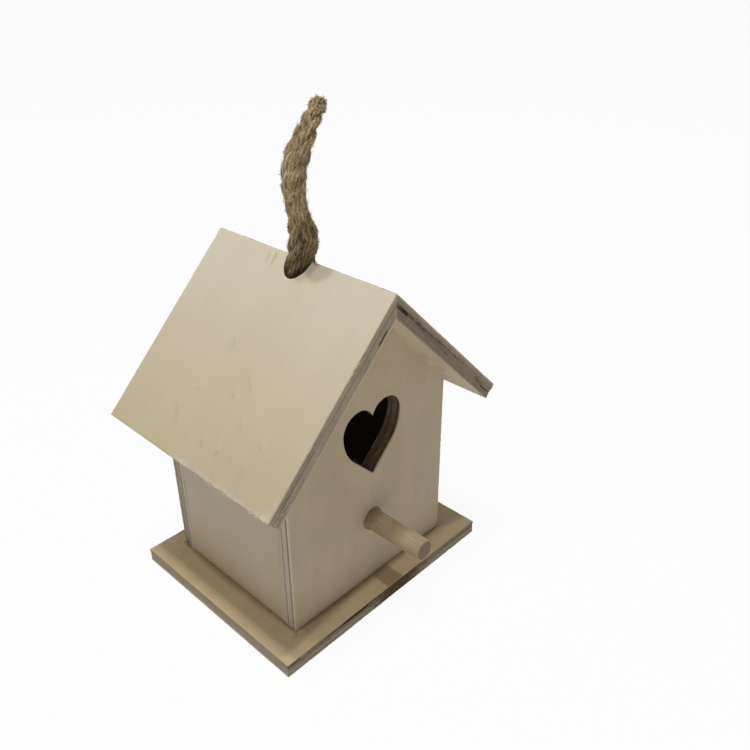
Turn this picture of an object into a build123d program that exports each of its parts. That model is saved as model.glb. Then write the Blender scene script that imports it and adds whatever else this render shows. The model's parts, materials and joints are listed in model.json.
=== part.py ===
"""Small plywood birdhouse with a heart-shaped entrance, a dowel perch and a rope hanger.

Millimetres, +Z up. The origin is the centre of the base plate's underside, the entrance faces -Y and the
ridge runs along Y. All boards meet in plain glued butt joints, and the two roof boards are mitred at the ridge.
"""

import os
from math import cos, pi, radians, sin, sqrt, tan

from build123d import *

# Board thicknesses
base_thickness = 6.0
wall_thickness = 6.35
roof_thickness = 6.5

# Base plate
base_width = 105.0
base_depth = 86.0

# House walls, standing on the base plate
house_width = 80.0
house_depth = 69.0
house_setback = 1.0  # the walls stand this far behind the middle of the base plate
wall_height = 75.0  # from the base plate to the eaves line on the outer face
roof_pitch = 45.0  # degrees

# Roof boards
roof_slope = 80.5  # ridge to eave along the outer face
roof_front_overhang = 11.5
roof_rear_overhang = 9.0

# Heart-shaped entrance, heights above the base plate
heart_width = 28.7
heart_height = 29.4
heart_cleft = 4.5  # depth of the cleft below the tops of the lobes
heart_point_angle = 89.2  # degrees between the two straight flanks
heart_point_height = 49.1
heart_offset = 0.8  # to the right of the panel's middle

# Perch
perch_diameter = 8.0
perch_reach = 26.0  # in front of the front panel
perch_height = 28.4  # its axis above the base plate
perch_chamfer = 0.7
perch_clearance = 0.05

# Wire brads through the base plate into the front and back panels
brad_diameter = 1.2
brad_length = 18.0
brad_head_diameter = 2.4
brad_head_thickness = 0.6
brad_point = 1.6  # length of the sharpened end
brad_set_depth = 0.2  # the head lies this far inside the underside
brad_spacing = 52.0  # between the two brads of one panel
brad_clearance = 0.05

# Rope hanger: a doubled rope through the ridge, knotted inside
rope_diameter = 5.5
rope_leg_gap = 0.1  # between the two legs in the ridge hole
rope_clearance = 0.3
knot_radius = 8.5
tail_length = 9.0  # rope ends hanging below the knot
loop_foot = 1.0  # height above the ridge where the loop springs from its legs
loop_turn = 43.7  # degrees from +X to the plane of the loop

# Places that the sizes above settle
pitch = radians(roof_pitch)
house_front = house_setback - house_depth / 2
house_rear = house_setback + house_depth / 2
eaves_height = base_thickness + wall_height
gable_top = eaves_height + house_width / 2 * tan(pitch)
ridge_top = gable_top + roof_thickness / cos(pitch)
roof_front = house_front - roof_front_overhang
roof_rear = house_rear + roof_rear_overhang
ridge_hole_y = (roof_front + roof_rear) / 2
leg_offset = (rope_diameter + rope_leg_gap) / 2
legs_reach = leg_offset + rope_diameter / 2
ridge_hole_radius = legs_reach + rope_clearance
brad_reach = brad_set_depth + brad_length

os.makedirs("parts", exist_ok=True)


# Corners of an end panel, as seen from the front
gable_corners = [
    (-house_width / 2, base_thickness),
    (house_width / 2, base_thickness),
    (house_width / 2, eaves_height),
    (0, gable_top),
    (-house_width / 2, eaves_height),
]

# Right half of the heart: a round lobe from the cleft to the widest place, then a curved flank that runs
# straight into the point
heart_half = heart_width / 2
heart_point = base_thickness + heart_point_height
heart_top = heart_point + heart_height
heart_lobe_radius = heart_half + heart_cleft - sqrt(heart_width * heart_cleft)
heart_lobe_centre = heart_top - heart_lobe_radius
heart_slant = radians(heart_point_angle / 2)
heart_rise = heart_lobe_centre - heart_point
heart_flank_radius = (heart_rise * sin(heart_slant) - heart_half * cos(heart_slant)) / (1 - cos(heart_slant))
heart_flank_centre = heart_half - heart_flank_radius
heart_straight = sqrt(heart_flank_centre**2 + heart_rise**2 - heart_flank_radius**2)
heart_flank_turn = pi / 2 - heart_slant
heart_flank_middle = (
    heart_flank_centre + heart_flank_radius * cos(heart_flank_turn / 2),
    heart_lobe_centre - heart_flank_radius * sin(heart_flank_turn / 2),
)
heart_flank_end = (
    heart_straight * sin(heart_slant),
    heart_point + heart_straight * cos(heart_slant),
)


def brad_places(panel_front):
    """The two places under an end panel where brads go in.

    panel_front is the Y of the panel's front face.
    """
    middle = panel_front + wall_thickness / 2
    return [(-brad_spacing / 2, middle), (brad_spacing / 2, middle)]


def wall_plane(y, x=0.0):
    """A plane square to Y at the given Y, with sketch x along +X, sketch y along +Z, facing the front."""
    return Plane(origin=(x, y, 0), x_dir=(1, 0, 0), z_dir=(0, -1, 0))


front_panel_face = house_front
back_panel_face = house_rear - wall_thickness
brad_sites = brad_places(front_panel_face) + brad_places(back_panel_face)
pilot_radius = brad_diameter / 2 + brad_clearance
pilot_depth = brad_reach - base_thickness + brad_clearance

# Base plate with counterbored brad holes from below
with BuildPart() as base_plate:
    with BuildSketch():
        Rectangle(base_width, base_depth)
    extrude(amount=base_thickness)
    with Locations(Plane.XY.rotated((180, 0, 0))):
        with Locations([(x, -y) for x, y in brad_sites]):
            CounterBoreHole(
                radius=pilot_radius,
                counter_bore_radius=brad_head_diameter / 2 + brad_clearance,
                counter_bore_depth=brad_set_depth + brad_head_thickness,
            )
base_plate.part.label = "base_plate"
export_step(base_plate.part, "parts/base_plate.step")

# Front panel with the heart, the perch hole and brad holes in its lower edge
with BuildPart() as front_panel:
    with BuildSketch(wall_plane(front_panel_face)):
        with BuildLine():
            Polyline(*gable_corners, close=True)
        make_face()
    extrude(amount=-wall_thickness)
    with BuildSketch(wall_plane(front_panel_face, heart_offset)):
        with BuildLine():
            ThreePointArc(
                (0, heart_top - heart_cleft),
                (heart_half - heart_lobe_radius, heart_top),
                (heart_half, heart_lobe_centre),
            )
            ThreePointArc((heart_half, heart_lobe_centre), heart_flank_middle, heart_flank_end)
            Line(heart_flank_end, (0, heart_point))
            mirror(about=Plane.YZ)
        make_face()
    extrude(amount=-wall_thickness, mode=Mode.SUBTRACT)
    with BuildSketch(wall_plane(front_panel_face)):
        with Locations((0, base_thickness + perch_height)):
            Circle(perch_diameter / 2 + perch_clearance)
    extrude(amount=-wall_thickness, mode=Mode.SUBTRACT)
    with BuildSketch(Plane.XY.offset(base_thickness)):
        with Locations(brad_places(front_panel_face)):
            Circle(pilot_radius)
    extrude(amount=pilot_depth, mode=Mode.SUBTRACT)
front_panel.part.label = "front_panel"
export_step(front_panel.part, "parts/front_panel.step")

# Back panel, plain, with brad holes in its lower edge
with BuildPart() as back_panel:
    with BuildSketch(wall_plane(back_panel_face)):
        with BuildLine():
            Polyline(*gable_corners, close=True)
        make_face()
    extrude(amount=-wall_thickness)
    with BuildSketch(Plane.XY.offset(base_thickness)):
        with Locations(brad_places(back_panel_face)):
            Circle(pilot_radius)
    extrude(amount=pilot_depth, mode=Mode.SUBTRACT)
back_panel.part.label = "back_panel"
export_step(back_panel.part, "parts/back_panel.step")

# Side walls between the end panels, with their top edges bevelled to the roof
with BuildPart() as right_wall:
    outer = house_width / 2
    inner = outer - wall_thickness
    with BuildSketch(wall_plane(front_panel_face + wall_thickness)):
        with BuildLine():
            Polyline(
                (inner, base_thickness),
                (outer, base_thickness),
                (outer, eaves_height),
                (inner, eaves_height + wall_thickness * tan(pitch)),
                close=True,
            )
        make_face()
    extrude(amount=-(house_depth - 2 * wall_thickness))
right_wall.part.label = "right_wall"
export_step(right_wall.part, "parts/right_wall.step")

with BuildPart() as left_wall:
    mirror(right_wall.part, about=Plane.YZ)
left_wall.part.label = "left_wall"
export_step(left_wall.part, "parts/left_wall.step")

# Roof boards, mitred at the ridge, with half of the rope hole cut into each
with BuildPart() as right_roof_panel:
    eave_top = (roof_slope * cos(pitch), ridge_top - roof_slope * sin(pitch))
    eave_bottom = (
        eave_top[0] - roof_thickness * sin(pitch),
        eave_top[1] - roof_thickness * cos(pitch),
    )
    with BuildSketch(wall_plane(roof_front)):
        with BuildLine():
            Polyline((0, gable_top), eave_bottom, eave_top, (0, ridge_top), close=True)
        make_face()
    extrude(amount=-(roof_rear - roof_front))
    with BuildSketch(Plane.XY.offset(ridge_top)):
        with Locations((0, ridge_hole_y)):
            Circle(ridge_hole_radius)
    extrude(amount=-ridge_top, mode=Mode.SUBTRACT)
right_roof_panel.part.label = "right_roof_panel"
export_step(right_roof_panel.part, "parts/right_roof_panel.step")

with BuildPart() as left_roof_panel:
    mirror(right_roof_panel.part, about=Plane.YZ)
left_roof_panel.part.label = "left_roof_panel"
export_step(left_roof_panel.part, "parts/left_roof_panel.step")

# Perch, a dowel glued into the front panel and flush with its inner face
with BuildPart() as perch_dowel:
    with BuildSketch(wall_plane(front_panel_face + wall_thickness)):
        with Locations((0, base_thickness + perch_height)):
            Circle(perch_diameter / 2)
    extrude(amount=wall_thickness + perch_reach)
    tip = perch_dowel.faces().sort_by(Axis.Y)[0]
    chamfer(tip.edges(), length=perch_chamfer)
perch_dowel.part.label = "perch_dowel"
export_step(perch_dowel.part, "parts/perch_dowel.step")

# Wire brads, one solid for each site, heads down
with BuildPart() as base_brads:
    radius = brad_diameter / 2
    with BuildSketch(Plane.XZ):
        with BuildLine():
            Polyline(
                (0, brad_set_depth),
                (brad_head_diameter / 2, brad_set_depth),
                (brad_head_diameter / 2, brad_set_depth + brad_head_thickness),
                (radius, brad_set_depth + brad_head_thickness),
                (radius, brad_reach - brad_point),
                (0, brad_reach),
                close=True,
            )
        make_face()
    brad = revolve(axis=Axis.Z, mode=Mode.PRIVATE)
    with Locations([(x, y, 0) for x, y in brad_sites]):
        add(brad)
base_brads.part.label = "base_brads"
export_step(base_brads.part, "parts/base_brads.step")

# Rope hanger. The knot is a round lump just under the roof boards, cut flat where the legs enter it.
knot_stand_off = knot_radius + rope_clearance
knot_centre = min(
    gable_top - knot_stand_off / cos(pitch),
    gable_top - ridge_hole_radius * tan(pitch) - sqrt(knot_stand_off**2 - ridge_hole_radius**2),
)
knot_top = knot_centre + sqrt(knot_radius**2 - legs_reach**2)
knot_bottom = knot_centre - knot_radius
loop_plane = Plane(
    origin=(0, ridge_hole_y, ridge_top),
    x_dir=(cos(radians(loop_turn)), sin(radians(loop_turn)), 0),
    z_dir=(0, 0, 1),
)
leg_sites = [(0, leg_offset), (0, -leg_offset)]

with BuildPart() as hanger_knot:
    with BuildSketch(Plane.XZ):
        with Locations((0, knot_centre)):
            Circle(knot_radius)
        with Locations((0, knot_top)):
            Rectangle(2 * knot_radius, 2 * knot_radius, align=(Align.CENTER, Align.MIN), mode=Mode.SUBTRACT)
        split(bisect_by=Plane.YZ)
    knot = revolve(axis=Axis.Z, mode=Mode.PRIVATE)
    with Locations((0, ridge_hole_y, 0)):
        add(knot)
    with BuildSketch(loop_plane.offset(knot_centre - ridge_top)):
        with Locations(leg_sites):
            Circle(rope_diameter / 2)
    extrude(amount=-(knot_radius + tail_length))
hanger_knot.part.label = "hanger_knot"
export_step(hanger_knot.part, "parts/hanger_knot.step")

# The rope's two legs in the ridge hole, from the knot to just above the ridge
with BuildPart() as hanger_legs:
    with BuildSketch(loop_plane.offset(knot_top - ridge_top)):
        with Locations(leg_sites):
            Circle(rope_diameter / 2)
    extrude(amount=ridge_top + loop_foot - knot_top)
hanger_legs.part.label = "hanger_legs"
export_step(hanger_legs.part, "parts/hanger_legs.step")

# Route of the free loop over the ridge: along its plane, aside of it and above the ridge
loop_route = [
    (0.0, leg_offset, loop_foot),
    (0.0, leg_offset, 6.0),
    (2.6, 1.8, 13.5),
    (7.4, 2.0, 22.0),
    (12.2, 1.0, 31.0),
    (13.6, -2.0, 40.4),
    (8.6, -5.4, 48.2),
    (0.0, -7.4, 51.0),
    (-8.6, -6.9, 48.3),
    (-13.6, -4.2, 40.9),
    (-12.2, -1.0, 31.5),
    (-7.4, -0.4, 22.4),
    (-2.6, -1.8, 13.8),
    (0.0, -leg_offset, 6.0),
    (0.0, -leg_offset, loop_foot),
]
bend_share = 0.45  # share of the shorter run that each bend takes up


def bend_radii(points):
    """The largest bend radius that each inner point's two runs leave room for."""
    radii = []
    for before, here, after in zip(points, points[1:], points[2:]):
        half_turn = radians((here - before).get_angle(after - here)) / 2
        shorter = min((here - before).length, (after - here).length)
        radii.append(bend_share * shorter / tan(half_turn))
    return radii


loop_points = [loop_plane.from_local_coords(Vector(*place)) for place in loop_route]
loop_radii = bend_radii(loop_points)

with BuildPart() as hanger_loop:
    with BuildLine():
        loop_path = FilletPolyline(*loop_points, radius=loop_radii)
    with BuildSketch(Plane(origin=loop_path @ 0, z_dir=loop_path % 0)):
        Circle(rope_diameter / 2)
    sweep()
hanger_loop.part.label = "hanger_loop"
export_step(hanger_loop.part, "parts/hanger_loop.step")

print("loop bend radii, mm:", [round(radius, 1) for radius in loop_radii])
tube_volume = pi * rope_diameter**2 / 4 * loop_path.length
print("loop length, mm:", round(loop_path.length, 1))
print("loop volume over section times length:", round(hanger_loop.part.volume / tube_volume, 4))
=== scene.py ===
"""Looks of a small plywood birdhouse: raw sanded boards, a dowel perch and a rope hanger of laid jute.

Everything is in metres in the shared frame: +Z up, the entrance faces -Y and the ridge runs along Y.
"""

import json
import logging
import math
from collections.abc import Callable, Sequence
from dataclasses import dataclass, replace
from enum import Enum

import bmesh
import bpy
import numpy as np
from mathutils import Euler, Matrix, Vector, geometry


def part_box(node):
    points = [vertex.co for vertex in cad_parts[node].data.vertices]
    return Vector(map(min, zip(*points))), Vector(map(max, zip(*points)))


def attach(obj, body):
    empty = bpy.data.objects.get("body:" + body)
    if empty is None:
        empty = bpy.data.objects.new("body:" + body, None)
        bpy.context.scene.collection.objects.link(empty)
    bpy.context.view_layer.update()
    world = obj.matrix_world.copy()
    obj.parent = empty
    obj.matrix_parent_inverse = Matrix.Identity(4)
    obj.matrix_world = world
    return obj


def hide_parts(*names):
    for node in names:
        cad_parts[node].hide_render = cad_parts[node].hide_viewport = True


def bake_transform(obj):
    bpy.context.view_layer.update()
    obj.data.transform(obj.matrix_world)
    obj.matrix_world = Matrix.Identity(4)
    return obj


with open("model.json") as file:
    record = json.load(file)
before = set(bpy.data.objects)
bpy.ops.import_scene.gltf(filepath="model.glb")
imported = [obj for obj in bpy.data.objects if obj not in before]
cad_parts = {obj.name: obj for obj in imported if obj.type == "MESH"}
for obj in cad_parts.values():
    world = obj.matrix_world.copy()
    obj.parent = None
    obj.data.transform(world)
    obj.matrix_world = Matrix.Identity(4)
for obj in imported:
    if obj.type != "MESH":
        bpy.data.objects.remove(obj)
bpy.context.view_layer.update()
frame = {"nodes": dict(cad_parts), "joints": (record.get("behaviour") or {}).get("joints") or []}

MM = 0.001
FULL_TURN = 2 * math.pi
PITCH = math.radians(45)
WELD = 1e-7
EAST, WEST = Vector((1, 0, 0)), Vector((-1, 0, 0))
NORTH, SOUTH = Vector((0, 1, 0)), Vector((0, -1, 0))
UP, DOWN = Vector((0, 0, 1)), Vector((0, 0, -1))
LOG = logging.getLogger("birdhouse")

# Two stretches of a noise's range, about its middle.
BROAD = (0.3, 0.7)
NARROW = (0.35, 0.65)

Colour = tuple[float, float, float, float]
Socket = bpy.types.NodeSocket


class Body(Enum):
    """The moving bodies of the birdhouse."""

    HOUSE = "house"
    STEM = "rope_stem"
    LOOP = "rope_loop"


class Slot(Enum):
    """The names of the material slots."""

    PLYWOOD = "plywood"
    DOWEL = "dowel"
    JUTE = "jute"
    STEEL = "brad_steel"


class Face(Enum):
    """The two faces of a board."""

    SHOW = 0
    INNER = 1


def shade(red: int, green: int, blue: int) -> Colour:
    """A colour as seen on a screen, turned into linear light.

    Args:
        red, green, blue: Screen values from 0 to 255.

    Returns:
        Linear red, green, blue and alpha.
    """
    values = [v / 255 for v in (red, green, blue)]
    linear = [v / 12.92 if v <= 0.04045 else ((v + 0.055) / 1.055) ** 2.4 for v in values]
    return (*linear, 1.0)


class Graph:
    """Adds nodes to one tree and links them, so that a finish reads from top to bottom."""

    def __init__(self, tree: bpy.types.NodeTree) -> None:
        """Keep the tree that nodes go into."""
        self.tree = tree

    def add(self, kind: str, inputs: dict | None = None, **settings) -> bpy.types.Node:
        """Add one node.

        Args:
            kind: Blender's name for the node type.
            inputs: Values or sockets for its inputs, by name or number.
            settings: Properties of the node.

        Returns:
            The new node.
        """
        node = self.tree.nodes.new(kind)
        for name, value in settings.items():
            setattr(node, name, value)
        for key, value in (inputs or {}).items():
            if isinstance(value, Socket):
                self.tree.links.new(value, node.inputs[key])
            else:
                node.inputs[key].default_value = value
        return node

    def out(self, kind: str, inputs: dict | None = None, **settings) -> Socket:
        """The first output of a new node."""
        return self.add(kind, inputs, **settings).outputs[0]

    def math(self, operation: str, a: Socket | float, b: Socket | float = 0.0, clamp: bool = False) -> Socket:
        """The result of one sum on two numbers."""
        return self.out("ShaderNodeMath", {0: a, 1: b}, operation=operation, use_clamp=clamp)

    def vector(self, operation: str, a: Socket, b: Socket | Sequence[float] = (0, 0, 0)) -> Socket:
        """The result of one sum on two vectors."""
        return self.out("ShaderNodeVectorMath", {0: a, 1: b}, operation=operation)

    def scaled(self, a: Socket, factor: Socket | float) -> Socket:
        """A vector times a number."""
        return self.out("ShaderNodeVectorMath", {0: a, "Scale": factor}, operation="SCALE")

    def noise(
        self, place: Socket, stretch: Sequence[float], detail: float = 2.0, rough: float = 0.5
    ) -> Socket:
        """Noise whose features repeat that many times a metre along each axis."""
        moved = self.vector("MULTIPLY", place, stretch)
        settings = {"Vector": moved, "Scale": 1.0, "Detail": detail, "Roughness": rough}
        return self.out("ShaderNodeTexNoise", settings)

    def span(
        self, value: Socket, low: Socket | float, high: Socket | float, to_low: Socket | float = 0.0,
        to_high: Socket | float = 1.0, smooth: bool = True,
    ) -> Socket:
        """A value's stretch from low to high, spread from to_low to to_high."""
        inputs = {"Value": value, "From Min": low, "From Max": high, "To Min": to_low, "To Max": to_high}
        return self.out("ShaderNodeMapRange", inputs, interpolation_type="SMOOTHSTEP" if smooth else "LINEAR")

    def blend(
        self, factor: Socket | float, a: Socket | Colour, b: Socket | Colour, mode: str = "MIX"
    ) -> Socket:
        """Two colours mixed by a factor."""
        inputs = {0: factor, 6: a, 7: b}
        return self.add("ShaderNodeMix", inputs, data_type="RGBA", blend_type=mode).outputs[2]

    def shaded(self, colour: Socket, factor: Socket) -> Socket:
        """A colour made lighter or darker by a factor."""
        grey = self.out("ShaderNodeCombineColor", {0: factor, 1: factor, 2: factor})
        return self.blend(1.0, colour, grey, "MULTIPLY")

    def times(self, a: Socket | float, b: Socket | float) -> Socket:
        """One number times another."""
        return self.math("MULTIPLY", a, b)

    def plus(self, a: Socket | float, b: Socket | float, clamp: bool = False) -> Socket:
        """The sum of two numbers."""
        return self.math("ADD", a, b, clamp)

    def weighted(self, a: Socket, b: Socket, share: float = 0.5) -> Socket:
        """Two numbers mixed, with the given share of the first."""
        return self.plus(self.times(a, share), self.times(b, 1 - share))

    def number(self, name: str) -> Socket:
        """One of the piece's own attributes, as a number."""
        return self.add("ShaderNodeAttribute", attribute_name=name).outputs["Fac"]

    def triple(self, name: str) -> Socket:
        """One of the piece's own attributes, as a vector."""
        return self.add("ShaderNodeAttribute", attribute_name=name).outputs["Vector"]

    def place(self) -> Socket:
        """The piece's own coordinates."""
        return self.add("ShaderNodeTexCoord").outputs["Object"]

    def surface(
        self, shader: bpy.types.Node, colour: Socket, rough: Socket, bump: tuple | None = None
    ) -> None:
        """Feed a shader its colour, its roughness and its bump.

        Args:
            shader: The Principled shader.
            colour: Its base colour.
            rough: Its roughness.
            bump: The bump's strength, its depth in metres and its height, or nothing for a smooth surface.
        """
        self.tree.links.new(colour, shader.inputs["Base Color"])
        self.tree.links.new(rough, shader.inputs["Roughness"])
        if bump:
            inputs = dict(zip(("Strength", "Distance", "Height"), bump))
            self.tree.links.new(self.out("ShaderNodeBump", inputs), shader.inputs["Normal"])

    def direct(self) -> Socket:
        """1 for rays that reach the camera straight, off a gloss or through glass, and 0 for other light."""
        path = self.add("ShaderNodeLightPath").outputs
        seen = self.math("MAXIMUM", path["Is Camera Ray"], path["Is Glossy Ray"])
        return self.math("MAXIMUM", seen, path["Is Transmission Ray"])

    def keep(
        self, shape: Socket, name: str, value: Socket, kind: str = "FLOAT", domain: str = "POINT"
    ) -> Socket:
        """Geometry with a value stored on it under a name."""
        inputs = {0: shape, "Name": name, "Value": value}
        return self.out("GeometryNodeStoreNamedAttribute", inputs, data_type=kind, domain=domain)

    def read(self, name: str, kind: str = "FLOAT") -> Socket:
        """A value that was stored on geometry under a name."""
        return self.out("GeometryNodeInputNamedAttribute", {"Name": name}, data_type=kind)

    def random(self, low: Socket | float, high: Socket | float, seed: int) -> Socket:
        """A number drawn for each element, with a fixed seed."""
        return self.add("FunctionNodeRandomValue", {2: low, 3: high, "Seed": seed}).outputs[1]

    def tube(self, curve: Socket, profile: Socket) -> Socket:
        """A profile swept along a curve, scaled by the curve's radius."""
        radius = self.out("GeometryNodeInputRadius")
        inputs = {"Curve": curve, "Profile Curve": profile, "Scale": radius, "Fill Caps": True}
        return self.out("GeometryNodeCurveToMesh", inputs)

    def dressed(self, shape: Socket, finish: Socket) -> Socket:
        """Geometry with its instances made real and its material set."""
        real = self.out("GeometryNodeRealizeInstances", {0: shape})
        return self.out("GeometryNodeSetMaterial", {0: real, "Material": finish})

    def parts(self, vector: Socket) -> tuple[Socket, Socket, Socket]:
        """A vector's three numbers."""
        return tuple(self.add("ShaderNodeSeparateXYZ", {0: vector}).outputs)


def new_group(
    name: str, kind: str, inputs: dict[str, str], outputs: dict[str, str]
) -> tuple[Graph, dict, dict]:
    """Start a node group.

    Args:
        name: The group's name.
        kind: The type of its tree.
        inputs: Socket types by name, such as Float.
        outputs: Socket types by name.

    Returns:
        The graph of the tree, its input sockets by name and the sockets to feed its outputs.
    """
    tree = bpy.data.node_groups.new(name, kind)
    for way, sockets in (("INPUT", inputs), ("OUTPUT", outputs)):
        for label, socket in sockets.items():
            tree.interface.new_socket(name=label, in_out=way, socket_type="NodeSocket" + socket)
    graph = Graph(tree)
    entry = graph.add("NodeGroupInput")
    leave = graph.add("NodeGroupOutput")
    return graph, {s.name: s for s in entry.outputs}, {s.name: s for s in leave.inputs}


def new_material(name: str) -> tuple[bpy.types.Material, Graph, bpy.types.Node]:
    """Start a material.

    Args:
        name: The material's name.

    Returns:
        The material, the graph of its tree and its Principled shader.
    """
    material = bpy.data.materials.new(name)
    material.use_nodes = True
    graph = Graph(material.node_tree)
    return material, graph, material.node_tree.nodes["Principled BSDF"]


class WoodGrain:
    """The grain that every wooden finish shares: streaks, fibres, flecks and broad mottling along one axis.

    A stretch says how often its noise repeats in a metre, along the grain and both ways across it.
    """

    WAVER = (30.0, 30.0, 30.0)
    WAVER_REACH = 1.6 * MM
    STREAK = (26.0, 900.0, 900.0)
    BAND = (7.0, 150.0, 150.0)
    FIBRE = (150.0, 4200.0, 4200.0)
    FLECK = (210.0, 2300.0, 2300.0)
    FLECK_EDGE = (0.66, 0.74)
    FLECK_DEPTH = 0.35
    MOTTLE = (19.0, 24.0, 24.0)
    BLOTCH = (42.0, 70.0, 70.0)

    def __init__(self) -> None:
        """Build the node group once."""
        outputs = dict.fromkeys(("Streak", "Fleck", "Mottle", "Blotch", "Height"), "Float")
        graph, given, wanted = new_group("Wood grain", "ShaderNodeTree", {"Place": "Vector"}, outputs)
        place = given["Place"]
        waver = graph.noise(place, self.WAVER)
        bend = graph.out("ShaderNodeCombineXYZ", {1: graph.times(waver, self.WAVER_REACH)})
        bent = graph.vector("ADD", place, bend)
        fine = graph.noise(bent, self.STREAK, 4.0, 0.62)
        band = graph.noise(bent, self.BAND, 3.0, 0.55)
        fibre = graph.noise(bent, self.FIBRE, 2.0, 0.6)
        fleck = graph.span(graph.noise(bent, self.FLECK, 1.0), *self.FLECK_EDGE)
        height = graph.math("SUBTRACT", graph.weighted(fine, fibre), graph.times(fleck, self.FLECK_DEPTH))
        results = {"Streak": graph.weighted(fine, band), "Fleck": fleck, "Height": height}
        results["Mottle"] = graph.noise(place, self.MOTTLE, 3.0)
        results["Blotch"] = graph.noise(place, self.BLOTCH, 4.0, 0.6)
        for name, socket in results.items():
            graph.tree.links.new(socket, wanted[name])
        self.tree = graph.tree

    def use(self, graph: Graph, place: Socket) -> dict[str, Socket]:
        """The group's outputs by name in a material, at the given coordinates along the grain's axis."""
        node = graph.add("ShaderNodeGroup", {"Place": place}, node_tree=self.tree)
        return {socket.name: socket for socket in node.outputs}


@dataclass(frozen=True)
class SheetFinish:
    """Raw sanded plywood: a smooth face veneer tinted from pale to warm along the board as painted light and
    shade, and plies on the cut edges.
    """

    name: str
    pale: Colour
    warm: Colour
    edge_pale: Colour = shade(226, 211, 188)
    edge_dark: Colour = shade(130, 110, 88)
    torn: Colour = shade(100, 80, 58)
    hollow: Colour = shade(32, 24, 16)
    fleck: Colour = shade(132, 106, 72)
    streaks: float = 0.035
    flecks: float = 0.1
    mottle: float = 0.28
    blotch: float = 0.07
    soil_and_shade: float = 0.7
    end_grain: float = 0.22
    grain_depth: float = 0.04 * MM
    cut_depth: float = 2.5
    cut_rough: float = 0.25
    sheen: tuple[float, float] = (0.5, 0.62)
    edge_streaks: tuple[float, float, float, float] = (0.28, 0.7, 0.72, 1.1)
    torn_from: tuple[float, float] = (0.0, 0.6)
    hollow_from: tuple[float, float] = (0.55, 1.0)
    bump: float = 0.5
    specular: float = 0.3

    def material(self, grain: WoodGrain) -> bpy.types.Material:
        """Build the finish, which reads the attributes that Board writes.

        Args:
            grain: The shared grain group.

        Returns:
            The material.
        """
        material, graph, shader = new_material(self.name)
        place = graph.triple("board_place")
        turned, tone, end_grain = graph.parts(graph.triple("ply_look"))
        cut, hollow, soil_and_shade = graph.parts(graph.triple("edge_wear_and_shade"))
        along, across, deep = graph.parts(place)
        swapped = graph.out("ShaderNodeCombineXYZ", {0: across, 1: along, 2: deep})
        run = graph.add("ShaderNodeMix", {0: turned, 4: place, 5: swapped}, data_type="VECTOR").outputs[1]
        wood = grain.use(graph, run)
        mottle = graph.span(wood["Mottle"], 0.25, 0.75, -self.mottle, self.mottle)
        # The face is tinted from pale to warm by painted light and shade along the board, with random
        # mottling.
        face = graph.blend(graph.plus(graph.number("painted_lighting_tint"), mottle, clamp=True), self.pale, self.warm)
        lines = graph.span(wood["Streak"], *BROAD, 1 - self.streaks, 1 + 0.7 * self.streaks)
        face = graph.shaded(face, lines)
        clouds = graph.span(wood["Blotch"], *NARROW, 1 - 0.64 * self.blotch, 1 + 0.36 * self.blotch)
        face = graph.shaded(face, clouds)
        face = graph.blend(graph.times(wood["Fleck"], self.flecks), face, self.fleck)
        edge = graph.blend(tone, self.edge_pale, self.edge_dark)
        edge = graph.shaded(edge, graph.span(wood["Streak"], *self.edge_streaks))
        edge = graph.blend(graph.times(end_grain, self.end_grain), edge, self.edge_dark)
        colour = graph.blend(cut, face, edge)
        # Soil from scratches, with painted contact shade round the walls' feet and painted shade on the inner
        # faces.
        colour = graph.blend(graph.times(soil_and_shade, self.soil_and_shade), colour, self.fleck)
        # The dark channel turns the edge to torn wood and, where strongest, to near black: real glue lines,
        # torn veneer and voids, with painted shade in the deepest cracks and voids and on the heart's cut
        # wall, and the perch's painted shadow on the base's front edge.
        colour = graph.blend(graph.span(hollow, *self.torn_from), colour, self.torn)
        colour = graph.blend(graph.span(hollow, *self.hollow_from), colour, self.hollow)
        sheen = graph.span(wood["Streak"], *BROAD, *self.sheen)
        rough = graph.plus(sheen, graph.times(cut, self.cut_rough), clamp=True)
        relief = graph.times(wood["Height"], graph.plus(graph.times(cut, self.cut_depth), 1.0))
        graph.surface(shader, colour, rough, (self.bump, self.grain_depth, relief))
        shader.inputs["Specular IOR Level"].default_value = self.specular
        return material


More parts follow.
